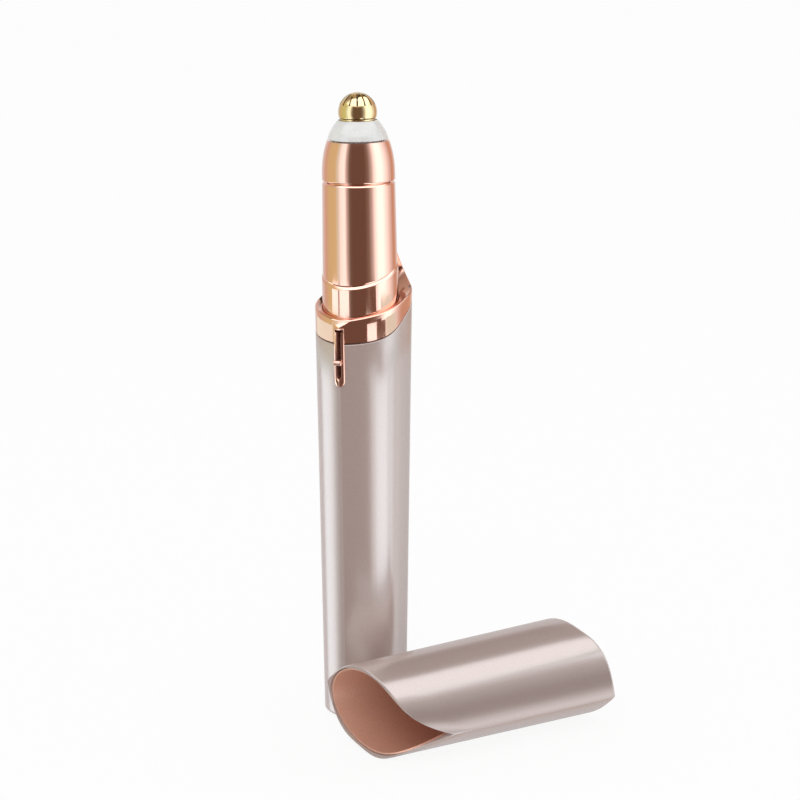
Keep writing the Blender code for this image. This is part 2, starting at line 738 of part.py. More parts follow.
def make_switch(carrier):
    mount = empty("switch_slide", (0, 0, KNOB_LEVEL), carrier)
    flange_front = tongue_back() + FLANGE_WIDTH / 4
    front = -FRONT_REACH - TONGUE_PROUD - CLOSE_FIT
    knob = box(
        "switch_slider", (KNOB_WIDTH, KNOB_PROUD, KNOB_HEIGHT), (0, front - KNOB_PROUD / 2, 0),
        ROSE_GOLD, mount, KNOB_EDGE,
    )
    stem_front = front - KNOB_PROUD / 2
    stem_back = flange_front + FLANGE_THICKNESS / 2
    stem = box(
        "switch_stem", (SLOT_WIDTH - 2 * CLOSE_FIT, stem_back - stem_front, STEM_HEIGHT),
        (0, (stem_front + stem_back) / 2, 0), None, mount,
    )
    flange = box(
        "switch_flange", (FLANGE_WIDTH, FLANGE_THICKNESS, FLANGE_HEIGHT),
        (0, flange_front + FLANGE_THICKNESS / 2, 0), None, mount,
    )
    boolean(knob, stem, "UNION")
    boolean(knob, flange, "UNION")
    leaf_front = flange_front + FLANGE_THICKNESS + CLOSE_FIT
    box(
        "switch_contact", (LEAF_WIDTH, LEAF_THICKNESS, LEAF_HEIGHT),
        (0, leaf_front + LEAF_THICKNESS / 2, 0), BRASS, mount,
    )
    board_front = leaf_front + LEAF_THICKNESS + CLOSE_FIT
    board_size = (WINDOW_WIDTH - 2 * FIT, BOARD_THICKNESS, WINDOW_HEIGHT - 2 * FIT)
    board_centre = (0, board_front + BOARD_THICKNESS / 2, WINDOW_FOOT + WINDOW_HEIGHT / 2)
    box("switch_board", board_size, board_centre, BOARD_GREEN, carrier)


def make_neck_collar(carrier):
    foot = lambda x, y: ring_seat(y) + FIT
    top = lambda x, y: slant(y)
    below_top = lambda x, y: slant(y, -COLLAR_EDGE)
    outline = collar_outline(COLLAR_RADIUS)
    rings = [
        circle_ring(outline, foot),
        circle_ring(outline, below_top),
        circle_ring(collar_outline(COLLAR_RADIUS - COLLAR_EDGE), top),
        circle_ring(COLLAR_BORE, top),
        circle_ring(COLLAR_BORE, foot),
    ]
    return loft("neck_collar", rings, ROSE_GOLD, carrier, closed=True)


def make_barrel(carrier):
    shoulder = lambda x, y: slant(y, FIT)
    spigot = COLLAR_BORE - FIT
    rings = [
        circle_ring(spigot, BARREL_FOOT),
        circle_ring(spigot, shoulder),
        circle_ring(BARREL_FOOT_RADIUS, shoulder),
        circle_ring(BARREL_TOP_RADIUS, BARREL_TOP - BARREL_EDGE),
        circle_ring(BARREL_TOP_RADIUS - BARREL_EDGE, BARREL_TOP),
        circle_ring(SPIGOT_RADIUS, BARREL_TOP),
        circle_ring(SPIGOT_RADIUS, SPIGOT_TOP - BARREL_EDGE),
        circle_ring(SPIGOT_RADIUS - BARREL_EDGE, SPIGOT_TOP),
        circle_ring(SPIGOT_BORE, SPIGOT_TOP),
        circle_ring(SPIGOT_BORE, BARREL_TOP),
        circle_ring(BULKHEAD_HOLE, BARREL_TOP),
        circle_ring(BULKHEAD_HOLE, BARREL_TOP - BULKHEAD_THICKNESS),
        circle_ring(BARREL_BORE, BARREL_TOP - BULKHEAD_THICKNESS),
        circle_ring(BARREL_BORE, BARREL_FOOT),
    ]
    barrel = loft("motor_barrel", rings, ROSE_GOLD, carrier, closed=True)
    for side in (-1, 1):
        x = side * led_wire_hole()
        hole = cylinder(
            f"led_wire_hole_{side}", LED_WIRE_RADIUS + FIT,
            (x, 0, BARREL_TOP - BULKHEAD_THICKNESS - OVERRUN), (x, 0, BARREL_TOP + OVERRUN),
            None, carrier, WIRE_HOLE_POINTS,
        )
        boolean(barrel, hole)
    return barrel


def led_wire_hole():
    return (SPIGOT_BORE + BULKHEAD_HOLE) / 2


def curved_profile(foot, top, foot_radius, top_radius, power, steps):
    """Points from top to foot of a side that bends in toward the top."""
    profile = []
    for i in range(steps + 1):
        share = 1 - i / steps
        radius = foot_radius - (foot_radius - top_radius) * share ** power
        profile.append((radius, between(foot, top, share)))
    return profile


def make_head(head):
    make_nose(head)
    make_light_ring(head)
    make_dome(head)
    make_retainer(head)


def make_nose(head):
    foot = BARREL_TOP + FIT
    outer = curved_profile(foot + NOSE_EDGE, NOSE_TOP, NOSE_FOOT_RADIUS, NOSE_TOP_RADIUS, NOSE_POWER, 6)
    groove = NOSE_BORE + SEAL_GROOVE_DEPTH
    half_groove = SEAL_RADIUS + CLOSE_FIT
    chamber_foot = SPIGOT_TOP + FIT
    profile = [
        *outer,
        (NOSE_FOOT_RADIUS - NOSE_EDGE, foot),
        (NOSE_BORE, foot),
        (NOSE_BORE, SEAL_LEVEL - half_groove),
        (groove, SEAL_LEVEL - half_groove),
        (groove, SEAL_LEVEL + half_groove),
        (NOSE_BORE, SEAL_LEVEL + half_groove),
        (NOSE_BORE, chamber_foot),
        (NOSE_CHAMBER, chamber_foot),
        (NOSE_CHAMBER, NOSE_TOP - NOSE_LIP),
        (NOSE_MOUTH, NOSE_TOP - NOSE_LIP),
        (NOSE_MOUTH, NOSE_TOP),
    ]
    return turned("head_nose", profile, ROSE_GOLD, head)


def make_light_ring(head):
    foot = NOSE_TOP + FIT
    spigot = NOSE_MOUTH - FIT
    bore_top = DOME_FOOT + DOME_FLANGE_HEIGHT + FIT
    profile = [
        *curved_profile(foot, LIGHT_TOP, LIGHT_FOOT_RADIUS, LIGHT_TOP_RADIUS, LIGHT_POWER, 5),
        (spigot, foot),
        (spigot, NOSE_TOP - LIGHT_SPIGOT_DEPTH),
        (LIGHT_BORE, NOSE_TOP - LIGHT_SPIGOT_DEPTH),
        (LIGHT_BORE, bore_top),
        (LIGHT_MOUTH, bore_top),
        (LIGHT_MOUTH, LIGHT_TOP),
    ]
    return turned("light_ring", profile, MILKY, head)


def dome_arc(radius, rise, end, steps):
    """Points of a dome's side, from its top down past its widest level."""
    centre = DOME_TOP - DOME_RISE
    angles = [end * i / steps for i in range(steps + 1)]
    return [(radius * math.sin(a), centre + rise * math.cos(a)) for a in angles]


def make_dome(head):
    skirt_bore = DOME_SKIRT_RADIUS - DOME_WALL
    outer = dome_arc(DOME_RADIUS, DOME_RISE, DOME_SWEEP, 8)
    inner = dome_arc(DOME_RADIUS - DOME_WALL, DOME_RISE - DOME_WALL, DOME_SWEEP, 5)
    inner_foot = inner[-1][1] - DOME_WALL
    neck_level = outer[-1][1] - DOME_WALL / 2
    profile = [
        *outer,
        (DOME_SKIRT_RADIUS, neck_level),
        (DOME_SKIRT_RADIUS, DOME_FOOT + DOME_FLANGE_HEIGHT),
        (DOME_FLANGE_RADIUS, DOME_FOOT + DOME_FLANGE_HEIGHT),
        (DOME_FLANGE_RADIUS, DOME_FOOT),
        (skirt_bore, DOME_FOOT),
        (skirt_bore, inner_foot),
        *reversed(inner),
    ]
    dome = turned("guard_dome", profile, GOLD, head, closed=False)
    height = DOME_TOP - DOME_SLOT_FOOT + OVERRUN
    length = DOME_RADIUS + OVERRUN - DOME_SLOT_INNER
    slots = [slot_cutter(i, length, height, head) for i in range(DOME_SLOTS)]
    for slot in slots:
        boolean(dome, slot)
    return dome


def slot_cutter(index, length, height, head):
    angle = 2 * math.pi * (index + 0.5) / DOME_SLOTS
    reach = DOME_SLOT_INNER + length / 2
    middle = DOME_SLOT_FOOT + height / 2
    slot = box(
        f"dome_slot_{index}", (length, DOME_SLOT_WIDTH, height),
        (reach * math.cos(angle), reach * math.sin(angle), middle), None, head,
    )
    slot.rotation_euler = (0, 0, angle)
    return slot


def make_retainer(head):
    top = DOME_FOOT - FIT
    profile = [
        (RETAINER_RADIUS, top),
        (RETAINER_RADIUS, top - RETAINER_HEIGHT),
        (RETAINER_BORE, top - RETAINER_HEIGHT),
        (RETAINER_BORE, top),
    ]
    return turned("dome_retainer", profile, ABS_BLACK, head)


def make_seal(parent):
    centre = SPIGOT_RADIUS + RUNNING_FIT + SEAL_RADIUS
    steps = 8
    ring = []
    for i in range(steps):
        angle = -2 * math.pi * i / steps
        ring.append((centre + SEAL_RADIUS * math.cos(angle), SEAL_LEVEL + SEAL_RADIUS * math.sin(angle)))
    return turned("head_seal", ring, RUBBER, parent, points=28)


def make_cutter(rotor):
    mount = empty("cutter_float", (0, 0, 0), rotor)
    rise = DOME_RISE - DOME_WALL - FIT
    scale = CUTTER_RADIUS / (DOME_RADIUS - DOME_WALL - FIT)
    end = math.acos((rise - CUTTER_DEPTH) / rise)
    reach = DOME_RADIUS - DOME_WALL - FIT
    outer = dome_arc(reach * scale / math.sin(end), rise, end, 6)
    inner_reach = (reach * scale - CUTTER_WALL) / math.sin(end)
    inner = dome_arc(inner_reach, rise - CUTTER_WALL, end, 4)
    under_hub = [point for point in reversed(inner) if point[0] > CUTTER_HUB_RADIUS]
    hub_top = inner_height(inner, CUTTER_HUB_RADIUS)
    profile = [
        *outer,
        *under_hub,
        (CUTTER_HUB_RADIUS, hub_top),
        (CUTTER_HUB_RADIUS, CUTTER_HUB_FOOT),
        (0, CUTTER_HUB_FOOT),
    ]
    cutter = turned("cutter", profile, STEEL, mount, closed=False, points=30)
    gap_start = CUTTER_HUB_RADIUS + CLOSE_FIT
    gap_length = CUTTER_RADIUS + OVERRUN - gap_start
    for i in range(CUTTER_BLADES):
        angle = 2 * math.pi * i / CUTTER_BLADES
        distance = gap_start + gap_length / 2
        gap = box(
            f"blade_gap_{i}", (gap_length, CUTTER_GAP_WIDTH, 2 * DOME_RISE),
            (distance * math.cos(angle), distance * math.sin(angle), DOME_TOP - DOME_RISE / 2), None, mount,
        )
        gap.rotation_euler = (0, 0, angle)
        boolean(cutter, gap)
    socket_side = DRIVE_SQUARE + 2 * CLOSE_FIT
    socket_top = DRIVE_TOP + CUTTER_TRAVEL + FIT
    socket_foot = CUTTER_HUB_FOOT - OVERRUN
    socket = box(
        "drive_socket", (socket_side, socket_side, socket_top - socket_foot),
        (0, 0, (socket_top + socket_foot) / 2), None, mount,
    )
    return boolean(cutter, socket)


def inner_height(profile, radius):
    """Height at which a profile, given from its top down, passes a radius."""
    for (r0, z0), (r1, z1) in zip(profile, profile[1:]):
        if r0 <= radius <= r1:
            return between(z0, z1, (radius - r0) / (r1 - r0))
    return profile[-1][1]


def make_coupler(rotor):
    flange_top = COUPLER_FLANGE_LEVEL + COUPLER_FLANGE_THICKNESS
    bore = SHAFT_RADIUS + RUNNING_FIT
    bore_top = SHAFT_TOP + FIT
    profile = [
        (0, flange_top),
        (COUPLER_FLANGE_RADIUS, flange_top),
        (COUPLER_FLANGE_RADIUS, COUPLER_FLANGE_LEVEL),
        (COUPLER_RADIUS, COUPLER_FLANGE_LEVEL),
        (COUPLER_RADIUS, COUPLER_FOOT),
        (bore, COUPLER_FOOT),
        (bore, bore_top),
        (0, bore_top),
    ]
    coupler = turned("drive_coupler", profile, ABS_WHITE, rotor, points=28, closed=False)
    drive_foot = COUPLER_FLANGE_LEVEL + COUPLER_FLANGE_THICKNESS / 2
    drive = box(
        "drive_square", (DRIVE_SQUARE, DRIVE_SQUARE, DRIVE_TOP - drive_foot),
        (0, 0, (DRIVE_TOP + drive_foot) / 2), None, rotor,
    )
    return boolean(coupler, drive, "UNION")


def coil(turns, wire_radius, foot, top, foot_radius, top_radius, steps=10):
    """Points of a coil and the least gap between neighbouring turns."""
    count = int(turns * steps)
    points = []
    for i in range(count + 1):
        share = i / count
        angle = 2 * math.pi * turns * share
        radius = between(foot_radius, top_radius, share)
        points.append((radius * math.cos(angle), radius * math.sin(angle), between(foot, top, share)))
    least = min(
        math.dist(points[i], points[j])
        for i in range(count + 1)
        for j in range(i + steps - 1, count + 1)
    )
    return points, least - 2 * wire_radius


def make_cutter_spring(rotor):
    foot = COUPLER_FLANGE_LEVEL + COUPLER_FLANGE_THICKNESS + SPRING_WIRE + CLOSE_FIT
    top = CUTTER_HUB_FOOT - SPRING_WIRE - CLOSE_FIT
    points, gap = coil(SPRING_TURNS, SPRING_WIRE, foot, top, SPRING_RADIUS, SPRING_RADIUS)
    print(f"cutter spring: least gap between turns {gap * 1000:.2f} mm")
    return wire("cutter_spring", points, SPRING_WIRE, STEEL, rotor)


def make_motor(carrier):
    plug_top = MOTOR_FOOT + END_CAP_PLUG
    hole = BUSHING_RADIUS + CLOSE_FIT
    can = [
        (MOTOR_BOSS_RADIUS, MOTOR_BOSS_TOP),
        (MOTOR_BOSS_RADIUS, MOTOR_TOP),
        (MOTOR_RADIUS - MOTOR_WALL / 2, MOTOR_TOP),
        (MOTOR_RADIUS, MOTOR_TOP - MOTOR_WALL / 2),
        (MOTOR_RADIUS, MOTOR_FOOT),
        (MOTOR_RADIUS - MOTOR_WALL, MOTOR_FOOT),
        (MOTOR_RADIUS - MOTOR_WALL, MOTOR_TOP - MOTOR_WALL),
        (hole, MOTOR_TOP - MOTOR_WALL),
        (hole, MOTOR_BOSS_TOP),
    ]
    turned("motor_can", can, STEEL, carrier)
    plug = MOTOR_RADIUS - MOTOR_WALL - CLOSE_FIT
    cap_top = MOTOR_FOOT - CLOSE_FIT
    cap_foot = cap_top - END_CAP_THICKNESS
    end_cap = [
        (plug, plug_top),
        (plug, cap_top),
        (MOTOR_RADIUS, cap_top),
        (MOTOR_RADIUS, cap_foot),
        (hole, cap_foot),
        (hole, plug_top),
    ]
    turned("motor_end_cap", end_cap, ABS_WHITE, carrier)
    make_bushing("front_bushing", MOTOR_TOP - MOTOR_WALL, MOTOR_BOSS_TOP, carrier, -1)
    make_bushing("rear_bushing", cap_foot, plug_top, carrier, 1)
    make_magnets(carrier)
    make_brushes(plug_top, carrier)
    make_terminals(cap_foot, carrier)


def make_bushing(name, low, high, carrier, flange_side):
    bore = SHAFT_RADIUS + RUNNING_FIT
    flange = BUSHING_RADIUS + BUSHING_FLANGE / 2
    if flange_side < 0:
        flange_top = low - CLOSE_FIT
        profile = [(BUSHING_RADIUS, high), (BUSHING_RADIUS, flange_top), (flange, flange_top)]
        profile += [(flange, flange_top - BUSHING_FLANGE), (bore, flange_top - BUSHING_FLANGE), (bore, high)]
    else:
        flange_foot = high + CLOSE_FIT
        top = flange_foot + BUSHING_FLANGE
        profile = [(flange, top), (flange, flange_foot), (BUSHING_RADIUS, flange_foot)]
        profile += [(BUSHING_RADIUS, low), (bore, low), (bore, top)]
    return turned(name, profile, BRONZE, carrier, points=SMALL_POINTS)


def arc_outline(inner, outer, span, middle, steps):
    angles = [middle + span * (i / steps - 0.5) for i in range(steps + 1)]
    points = [(outer * math.cos(a), outer * math.sin(a)) for a in angles]
    return points + [(inner * math.cos(a), inner * math.sin(a)) for a in reversed(angles)]


def make_magnets(carrier):
    foot = CORE_FOOT - MAGNET_OVERHANG
    height = CORE_TOP - CORE_FOOT + 2 * MAGNET_OVERHANG
    for name, middle in (("magnet_left", math.pi), ("magnet_right", 0.0)):
        outline = arc_outline(MAGNET_INNER, MAGNET_OUTER, MAGNET_SPAN, middle, 12)
        prism(name, outline, foot, height, "Z", FERRITE, carrier)


def make_brushes(foot, carrier):
    reach = COMMUTATOR_RADIUS + CLOSE_FIT + BRUSH_THICKNESS / 2
    for name, side in (("brush_front", -1), ("brush_back", 1)):
        height = COMMUTATOR_TOP - foot - 2 * CLOSE_FIT
        middle = foot + CLOSE_FIT + height / 2
        size = (BRUSH_LENGTH, BRUSH_THICKNESS, min(BRUSH_WIDTH, height))
        box(name, size, (0, side * reach, middle), BRASS, carrier)


def make_terminals(cap_foot, carrier):
    for name, side in (("motor_terminal_left", -1), ("motor_terminal_right", 1)):
        size = (TERMINAL_THICKNESS, TERMINAL_WIDTH, TERMINAL_DROP)
        centre = (side * TERMINAL_REACH, 0, cap_foot - CLOSE_FIT - TERMINAL_DROP / 2)
        box(name, size, centre, BRASS, carrier)


def make_rotor(rotor):
    shaft = [(0, SHAFT_TOP), (SHAFT_RADIUS, SHAFT_TOP), (SHAFT_RADIUS, SHAFT_FOOT), (0, SHAFT_FOOT)]
    turned("motor_shaft", shaft, STEEL, rotor, points=SMALL_POINTS, closed=False)
    make_core(rotor)
    bore = SHAFT_RADIUS + RUNNING_FIT
    ring = [
        (COMMUTATOR_RADIUS, COMMUTATOR_TOP),
        (COMMUTATOR_RADIUS, COMMUTATOR_FOOT),
        (bore, COMMUTATOR_FOOT),
        (bore, COMMUTATOR_TOP),
    ]
    turned("commutator", ring, WIRE_COPPER, rotor, points=SMALL_POINTS)
    make_windings(rotor)
    make_coupler(rotor)
    make_cutter_spring(rotor)
    make_cutter(rotor)


def make_core(rotor):
    """The three-pole iron core, drawn as one outline of legs and shoes and bored for the shaft."""
    outline = []
    leg_angle = math.asin(CORE_LEG_WIDTH / 2 / CORE_HUB_RADIUS)
    neck = CORE_RADIUS - CORE_SHOE_THICKNESS
    neck_angle = math.asin(CORE_LEG_WIDTH / 2 / neck)
    steps = 6
    for pole in range(CORE_POLES):
        middle = 2 * math.pi * pole / CORE_POLES
        shoe = [middle + POLE_SPAN * (i / steps - 0.5) for i in range(steps + 1)]
        outline.append((CORE_HUB_RADIUS, middle - leg_angle))
        outline.append((neck, middle - neck_angle))
        outline.append((neck, shoe[0]))
        outline += [(CORE_RADIUS, a) for a in shoe]
        outline.append((neck, shoe[-1]))
        outline.append((neck, middle + neck_angle))
        outline.append((CORE_HUB_RADIUS, middle + leg_angle))
    points = [(r * math.cos(a), r * math.sin(a)) for r, a in outline]
    core = prism("armature_core", points, CORE_FOOT, CORE_TOP - CORE_FOOT, "Z", STEEL, rotor)
    bore = cylinder(
        "core_bore", SHAFT_RADIUS + RUNNING_FIT, (0, 0, CORE_FOOT - OVERRUN), (0, 0, CORE_TOP + OVERRUN),
        None, rotor,
    )
    return boolean(core, bore)


def make_windings(rotor):
    """Each coil fills the space between two legs and stands a little past the core's ends."""
    inner = CORE_HUB_RADIUS + CLOSE_FIT
    outer = CORE_RADIUS - CORE_SHOE_THICKNESS - CLOSE_FIT
    low = CORE_FOOT - WINDING_OVERHANG
    height = CORE_TOP - CORE_FOOT + 2 * WINDING_OVERHANG
    margin = CORE_LEG_WIDTH / 2 + CLOSE_FIT
    steps = 6
    half = math.pi / CORE_POLES
    for pole in range(CORE_POLES):
        middle = 2 * math.pi * (pole + 0.5) / CORE_POLES
        outer_span = 2 * (half - math.asin(margin / outer))
        inner_span = 2 * (half - math.asin(margin / inner))
        arc = [middle + outer_span * (i / steps - 0.5) for i in range(steps + 1)]
        points = [(outer * math.cos(a), outer * math.sin(a)) for a in arc]
        for share in (0.5, -0.5):
            a = middle + inner_span * share
            points.append((inner * math.cos(a), inner * math.sin(a)))
        prism(f"rotor_winding_{pole + 1}", points, low, height, "Z", WIRE_COPPER, rotor)


def battery_top():
    return BATTERY_FOOT + BATTERY_LENGTH


def make_battery(carrier):
    shoulder = battery_top() - BATTERY_NUB_HEIGHT
    profile = [
        (0, battery_top()),
        (BATTERY_NUB_RADIUS, battery_top()),
        (BATTERY_NUB_RADIUS, shoulder),
        (BATTERY_RADIUS - BATTERY_EDGE, shoulder),
        (BATTERY_RADIUS, shoulder - BATTERY_EDGE),
        (BATTERY_RADIUS, BATTERY_FOOT + BATTERY_EDGE),
        (BATTERY_RADIUS - BATTERY_EDGE, BATTERY_FOOT),
        (0, BATTERY_FOOT),
    ]
    return turned("battery", profile, JACKET, carrier, closed=False, points=32)


def strip_level():
    return CARRIER_FOOT + CARRIER_END + CLOSE_FIT


def make_contacts(carrier):
    """A strip under the battery spring that climbs the back of the carrier, and a plate on top."""
    outside = CARRIER_BORE + CARRIER_WALL + CLOSE_FIT
    leg_back = outside + CONTACT_THICKNESS
    low = strip_level()
    front = -BATTERY_SPRING_RADIUS - BATTERY_SPRING_WIRE
    outline = [
        (front, low), (leg_back, low), (leg_back, STRIP_TOP), (outside, STRIP_TOP),
        (outside, low + CONTACT_THICKNESS), (front, low + CONTACT_THICKNESS),
    ]
    rings = [[(x, y, z) for y, z in outline] for x in (-STRIP_WIDTH / 2, STRIP_WIDTH / 2)]
    loft("negative_strip", rings, BRASS, carrier)
    foot = low + CONTACT_THICKNESS + BATTERY_SPRING_WIRE + CLOSE_FIT
    top = BATTERY_FOOT - BATTERY_SPRING_WIRE - CLOSE_FIT
    points, gap = coil(
        BATTERY_SPRING_TURNS, BATTERY_SPRING_WIRE, foot, top,
        BATTERY_SPRING_RADIUS, BATTERY_SPRING_TOP_RADIUS,
    )
    print(f"battery spring: least gap between turns {gap * 1000:.2f} mm")
    wire("battery_spring", points, BATTERY_SPRING_WIRE, STEEL, carrier)
    level = battery_top() + CLOSE_FIT + CONTACT_THICKNESS / 2
    size = (CONTACT_WIDTH, CONTACT_WIDTH, CONTACT_THICKNESS)
    box("positive_contact", size, (0, CONTACT_WIDTH / 4, level), BRASS, carrier)


def half_tube(name, inner, outer, span, middle, low, high, finish, parent):
    outline = arc_outline(inner, outer, span, middle, 16)
    return prism(name, outline, low, high - low, "Z", finish, parent)


def disc_cutter(name, radius, low, high, parent, points=ROUND_POINTS):
    return cylinder(name, radius, (0, 0, low), (0, 0, high), None, parent, points)


def make_carrier_back(carrier):
    outer = CARRIER_BORE + CARRIER_WALL
    span = math.radians(196.0)
    back = half_tube(
        "carrier_back", CARRIER_BORE, outer, span, math.pi / 2, CARRIER_FOOT, CARRIER_TOP, ABS_WHITE, carrier,
    )
    overlap = CARRIER_WALL / 2
    foot_plate = disc_cutter("carrier_foot", outer - CLOSE_FIT, CARRIER_FOOT, CARRIER_FOOT + CARRIER_END, carrier)
    boolean(back, foot_plate, "UNION")
    plate_low = battery_top() + CLOSE_FIT + CONTACT_THICKNESS + CLOSE_FIT
    plate = prism(
        "carrier_plate", arc_outline(CORE_HUB_RADIUS, CARRIER_BORE + overlap, math.radians(180.0), math.pi / 2, 12),
        plate_low, CARRIER_END, "Z", None, carrier,
    )
    boolean(back, plate, "UNION")
    neck = turned("carrier_neck", [
        (NECK_RADIUS, NECK_TOP),
        (NECK_RADIUS, CARRIER_TOP),
        (CARRIER_BORE + overlap, CARRIER_TOP - CLOSE_FIT),
        (CARRIER_BORE + overlap, CARRIER_TOP - CARRIER_END),
        (NECK_BORE, CARRIER_TOP - CARRIER_END),
        (NECK_BORE, NECK_TOP),
    ], None, carrier)
    boolean(back, neck, "UNION")
    for side in (-1, 1):
        x = side * SCREW_SPREAD
        boss = cylinder(
            f"back_boss_{side}", SCREW_BOSS_RADIUS,
            (x, FIT / 2, SCREW_LEVEL), (x, boss_reach(), SCREW_LEVEL), None, carrier,
        )
        boolean(back, boss, "UNION")
        hole = cylinder(
            f"back_hole_{side}", SCREW_RADIUS + CLOSE_FIT,
            (x, -OVERRUN, SCREW_LEVEL), (x, screw_tip() + FIT, SCREW_LEVEL), None, carrier,
        )
        boolean(back, hole)
    slot = box(
        "strip_slot", (STRIP_WIDTH + 2 * FIT, 2 * CARRIER_WALL + OVERRUN, CONTACT_THICKNESS + 4 * CLOSE_FIT),
        (0, outer, strip_level() + CONTACT_THICKNESS / 2), None, carrier,
    )
    return boolean(back, slot)


def boss_reach():
    """How far out a screw boss runs, so that it meets the middle of the carrier's wall."""
    wall = CARRIER_BORE + CARRIER_WALL / 2
    return math.sqrt(wall ** 2 - SCREW_SPREAD ** 2)


def screw_head_seat():
    """Depth of the face under a screw's head, in the front half."""
    return -boss_reach() + SCREW_RECESS


def screw_tip():
    return screw_head_seat() + SCREW_LENGTH


def make_carrier_front(carrier):
    outer = CARRIER_BORE + CARRIER_WALL
    span = math.radians(158.0)
    top = CARRIER_TOP - CARRIER_END - FIT
    front = half_tube(
        "carrier_front", CARRIER_BORE, outer, span, -math.pi / 2, CARRIER_SPLIT, top, ABS_WHITE, carrier,
    )
    for side in (-1, 1):
        x = side * SCREW_SPREAD
        boss = cylinder(
            f"front_boss_{side}", SCREW_BOSS_RADIUS,
            (x, -boss_reach(), SCREW_LEVEL), (x, -FIT / 2, SCREW_LEVEL), None, carrier,
        )
        boolean(front, boss, "UNION")
        seat = screw_head_seat()
        recess = cylinder(
            f"screw_recess_{side}", SCREW_HEAD_RADIUS + CLOSE_FIT,
            (x, seat, SCREW_LEVEL), (x, -outer - OVERRUN, SCREW_LEVEL), None, carrier,
        )
        boolean(front, recess)
        hole = cylinder(
            f"screw_hole_{side}", SCREW_RADIUS + CLOSE_FIT,
            (x, seat - OVERRUN, SCREW_LEVEL), (x, OVERRUN, SCREW_LEVEL), None, carrier,
        )
        boolean(front, hole)
    window = box(
        "switch_window", (WINDOW_WIDTH, 4 * OVERRUN, WINDOW_HEIGHT + OVERRUN),
        (0, -outer, WINDOW_FOOT + (WINDOW_HEIGHT + OVERRUN) / 2), None, carrier,
    )
    return boolean(front, window)


def make_screws(carrier):
    for name, side in (("carrier_screw_left", -1), ("carrier_screw_right", 1)):
        x = side * SCREW_SPREAD
        seat = screw_head_seat() - CLOSE_FIT
        screw = cylinder(
            name, SCREW_HEAD_RADIUS, (x, seat - SCREW_HEAD_HEIGHT, SCREW_LEVEL), (x, seat, SCREW_LEVEL),
            STEEL, carrier,
        )
        shank = cylinder(
            f"{name}_shank", SCREW_RADIUS, (x, seat - SCREW_HEAD_HEIGHT / 2, SCREW_LEVEL),
            (x, screw_tip(), SCREW_LEVEL), None, carrier,
        )
        boolean(screw, shank, "UNION")
        cross = box(
            f"{name}_cross", (SCREW_RADIUS / 2, SCREW_HEAD_HEIGHT, 2 * SCREW_RADIUS),
            (x, seat - SCREW_HEAD_HEIGHT, SCREW_LEVEL), None, carrier,
        )
        boolean(screw, cross)


def make_led_board(carrier):
    low = SPIGOT_TOP + CLOSE_FIT
    top = low + LED_BOARD_THICKNESS
    profile = [
        (LED_BOARD_RADIUS, top),
        (LED_BOARD_RADIUS, low),
        (LED_BOARD_BORE, low),
        (LED_BOARD_BORE, top),
    ]
    turned("led_board", profile, BOARD_GREEN, carrier)
    for name, side in (("led_left", -1), ("led_right", 1)):
        size = (LED_SIZE, LED_SIZE, LED_HEIGHT)
        centre = (side * LED_RING_RADIUS, 0, top + CLOSE_FIT + LED_HEIGHT / 2)
        box(name, size, centre, LED_YELLOW, carrier)


def make_wires(carrier):
    """Leads from battery to switch, switch to motor, battery back to motor, and up to the light."""
    board_back = switch_board_back()
    plate_top = battery_top() + 2 * CLOSE_FIT + CONTACT_THICKNESS
    reach = board_back + WIRE_RADIUS + CLOSE_FIT
    front = -CORE_HUB_RADIUS - 2 * WIRE_RADIUS
    lead = [
        (0, front, plate_top + WIRE_RADIUS),
        (0, front, SCREW_LEVEL),
        (0, reach, WINDOW_FOOT + WIRE_RADIUS),
        (0, reach, WINDOW_FOOT + 4 * WIRE_RADIUS),
    ]
    wire("battery_wire", lead, WIRE_RADIUS, INSULATION, carrier)
    terminal_foot = MOTOR_FOOT - 2 * CLOSE_FIT - END_CAP_THICKNESS - TERMINAL_DROP
    inner = TERMINAL_REACH - TERMINAL_THICKNESS - WIRE_RADIUS
    up = [
        (-inner, reach, KNOB_LEVEL),
        (-inner, reach, KNOB_LEVEL + 4 * WIRE_RADIUS),
        (-inner, -NECK_BORE / 2, CARRIER_TOP - 2 * CARRIER_END),
        (-inner, -NECK_BORE / 2, CARRIER_TOP),
        (-inner, 0, terminal_foot + WIRE_RADIUS),
        (-inner, 0, terminal_foot + TERMINAL_DROP / 2),
    ]
    wire("switch_wire", up, WIRE_RADIUS, INSULATION, carrier)
    bore = CARRIER_BORE - WIRE_RADIUS - CLOSE_FIT
    back = [
        (0, bore, STRIP_TOP - 2 * WIRE_RADIUS),
        (0, bore, STRIP_TOP + 4 * WIRE_RADIUS),
        (inner, NECK_BORE / 2, CARRIER_TOP - 2 * CARRIER_END),
        (inner, NECK_BORE / 2, CARRIER_TOP),
        (inner, 0, terminal_foot + WIRE_RADIUS),
        (inner, 0, terminal_foot + TERMINAL_DROP / 2),
    ]
    wire("return_wire", back, WIRE_RADIUS, INSULATION, carrier)
    make_led_wires(terminal_foot, carrier)


def switch_board_back():
    front = tongue_back() + FLANGE_WIDTH / 4 + FLANGE_THICKNESS
    return front + 2 * CLOSE_FIT + LEAF_THICKNESS + BOARD_THICKNESS


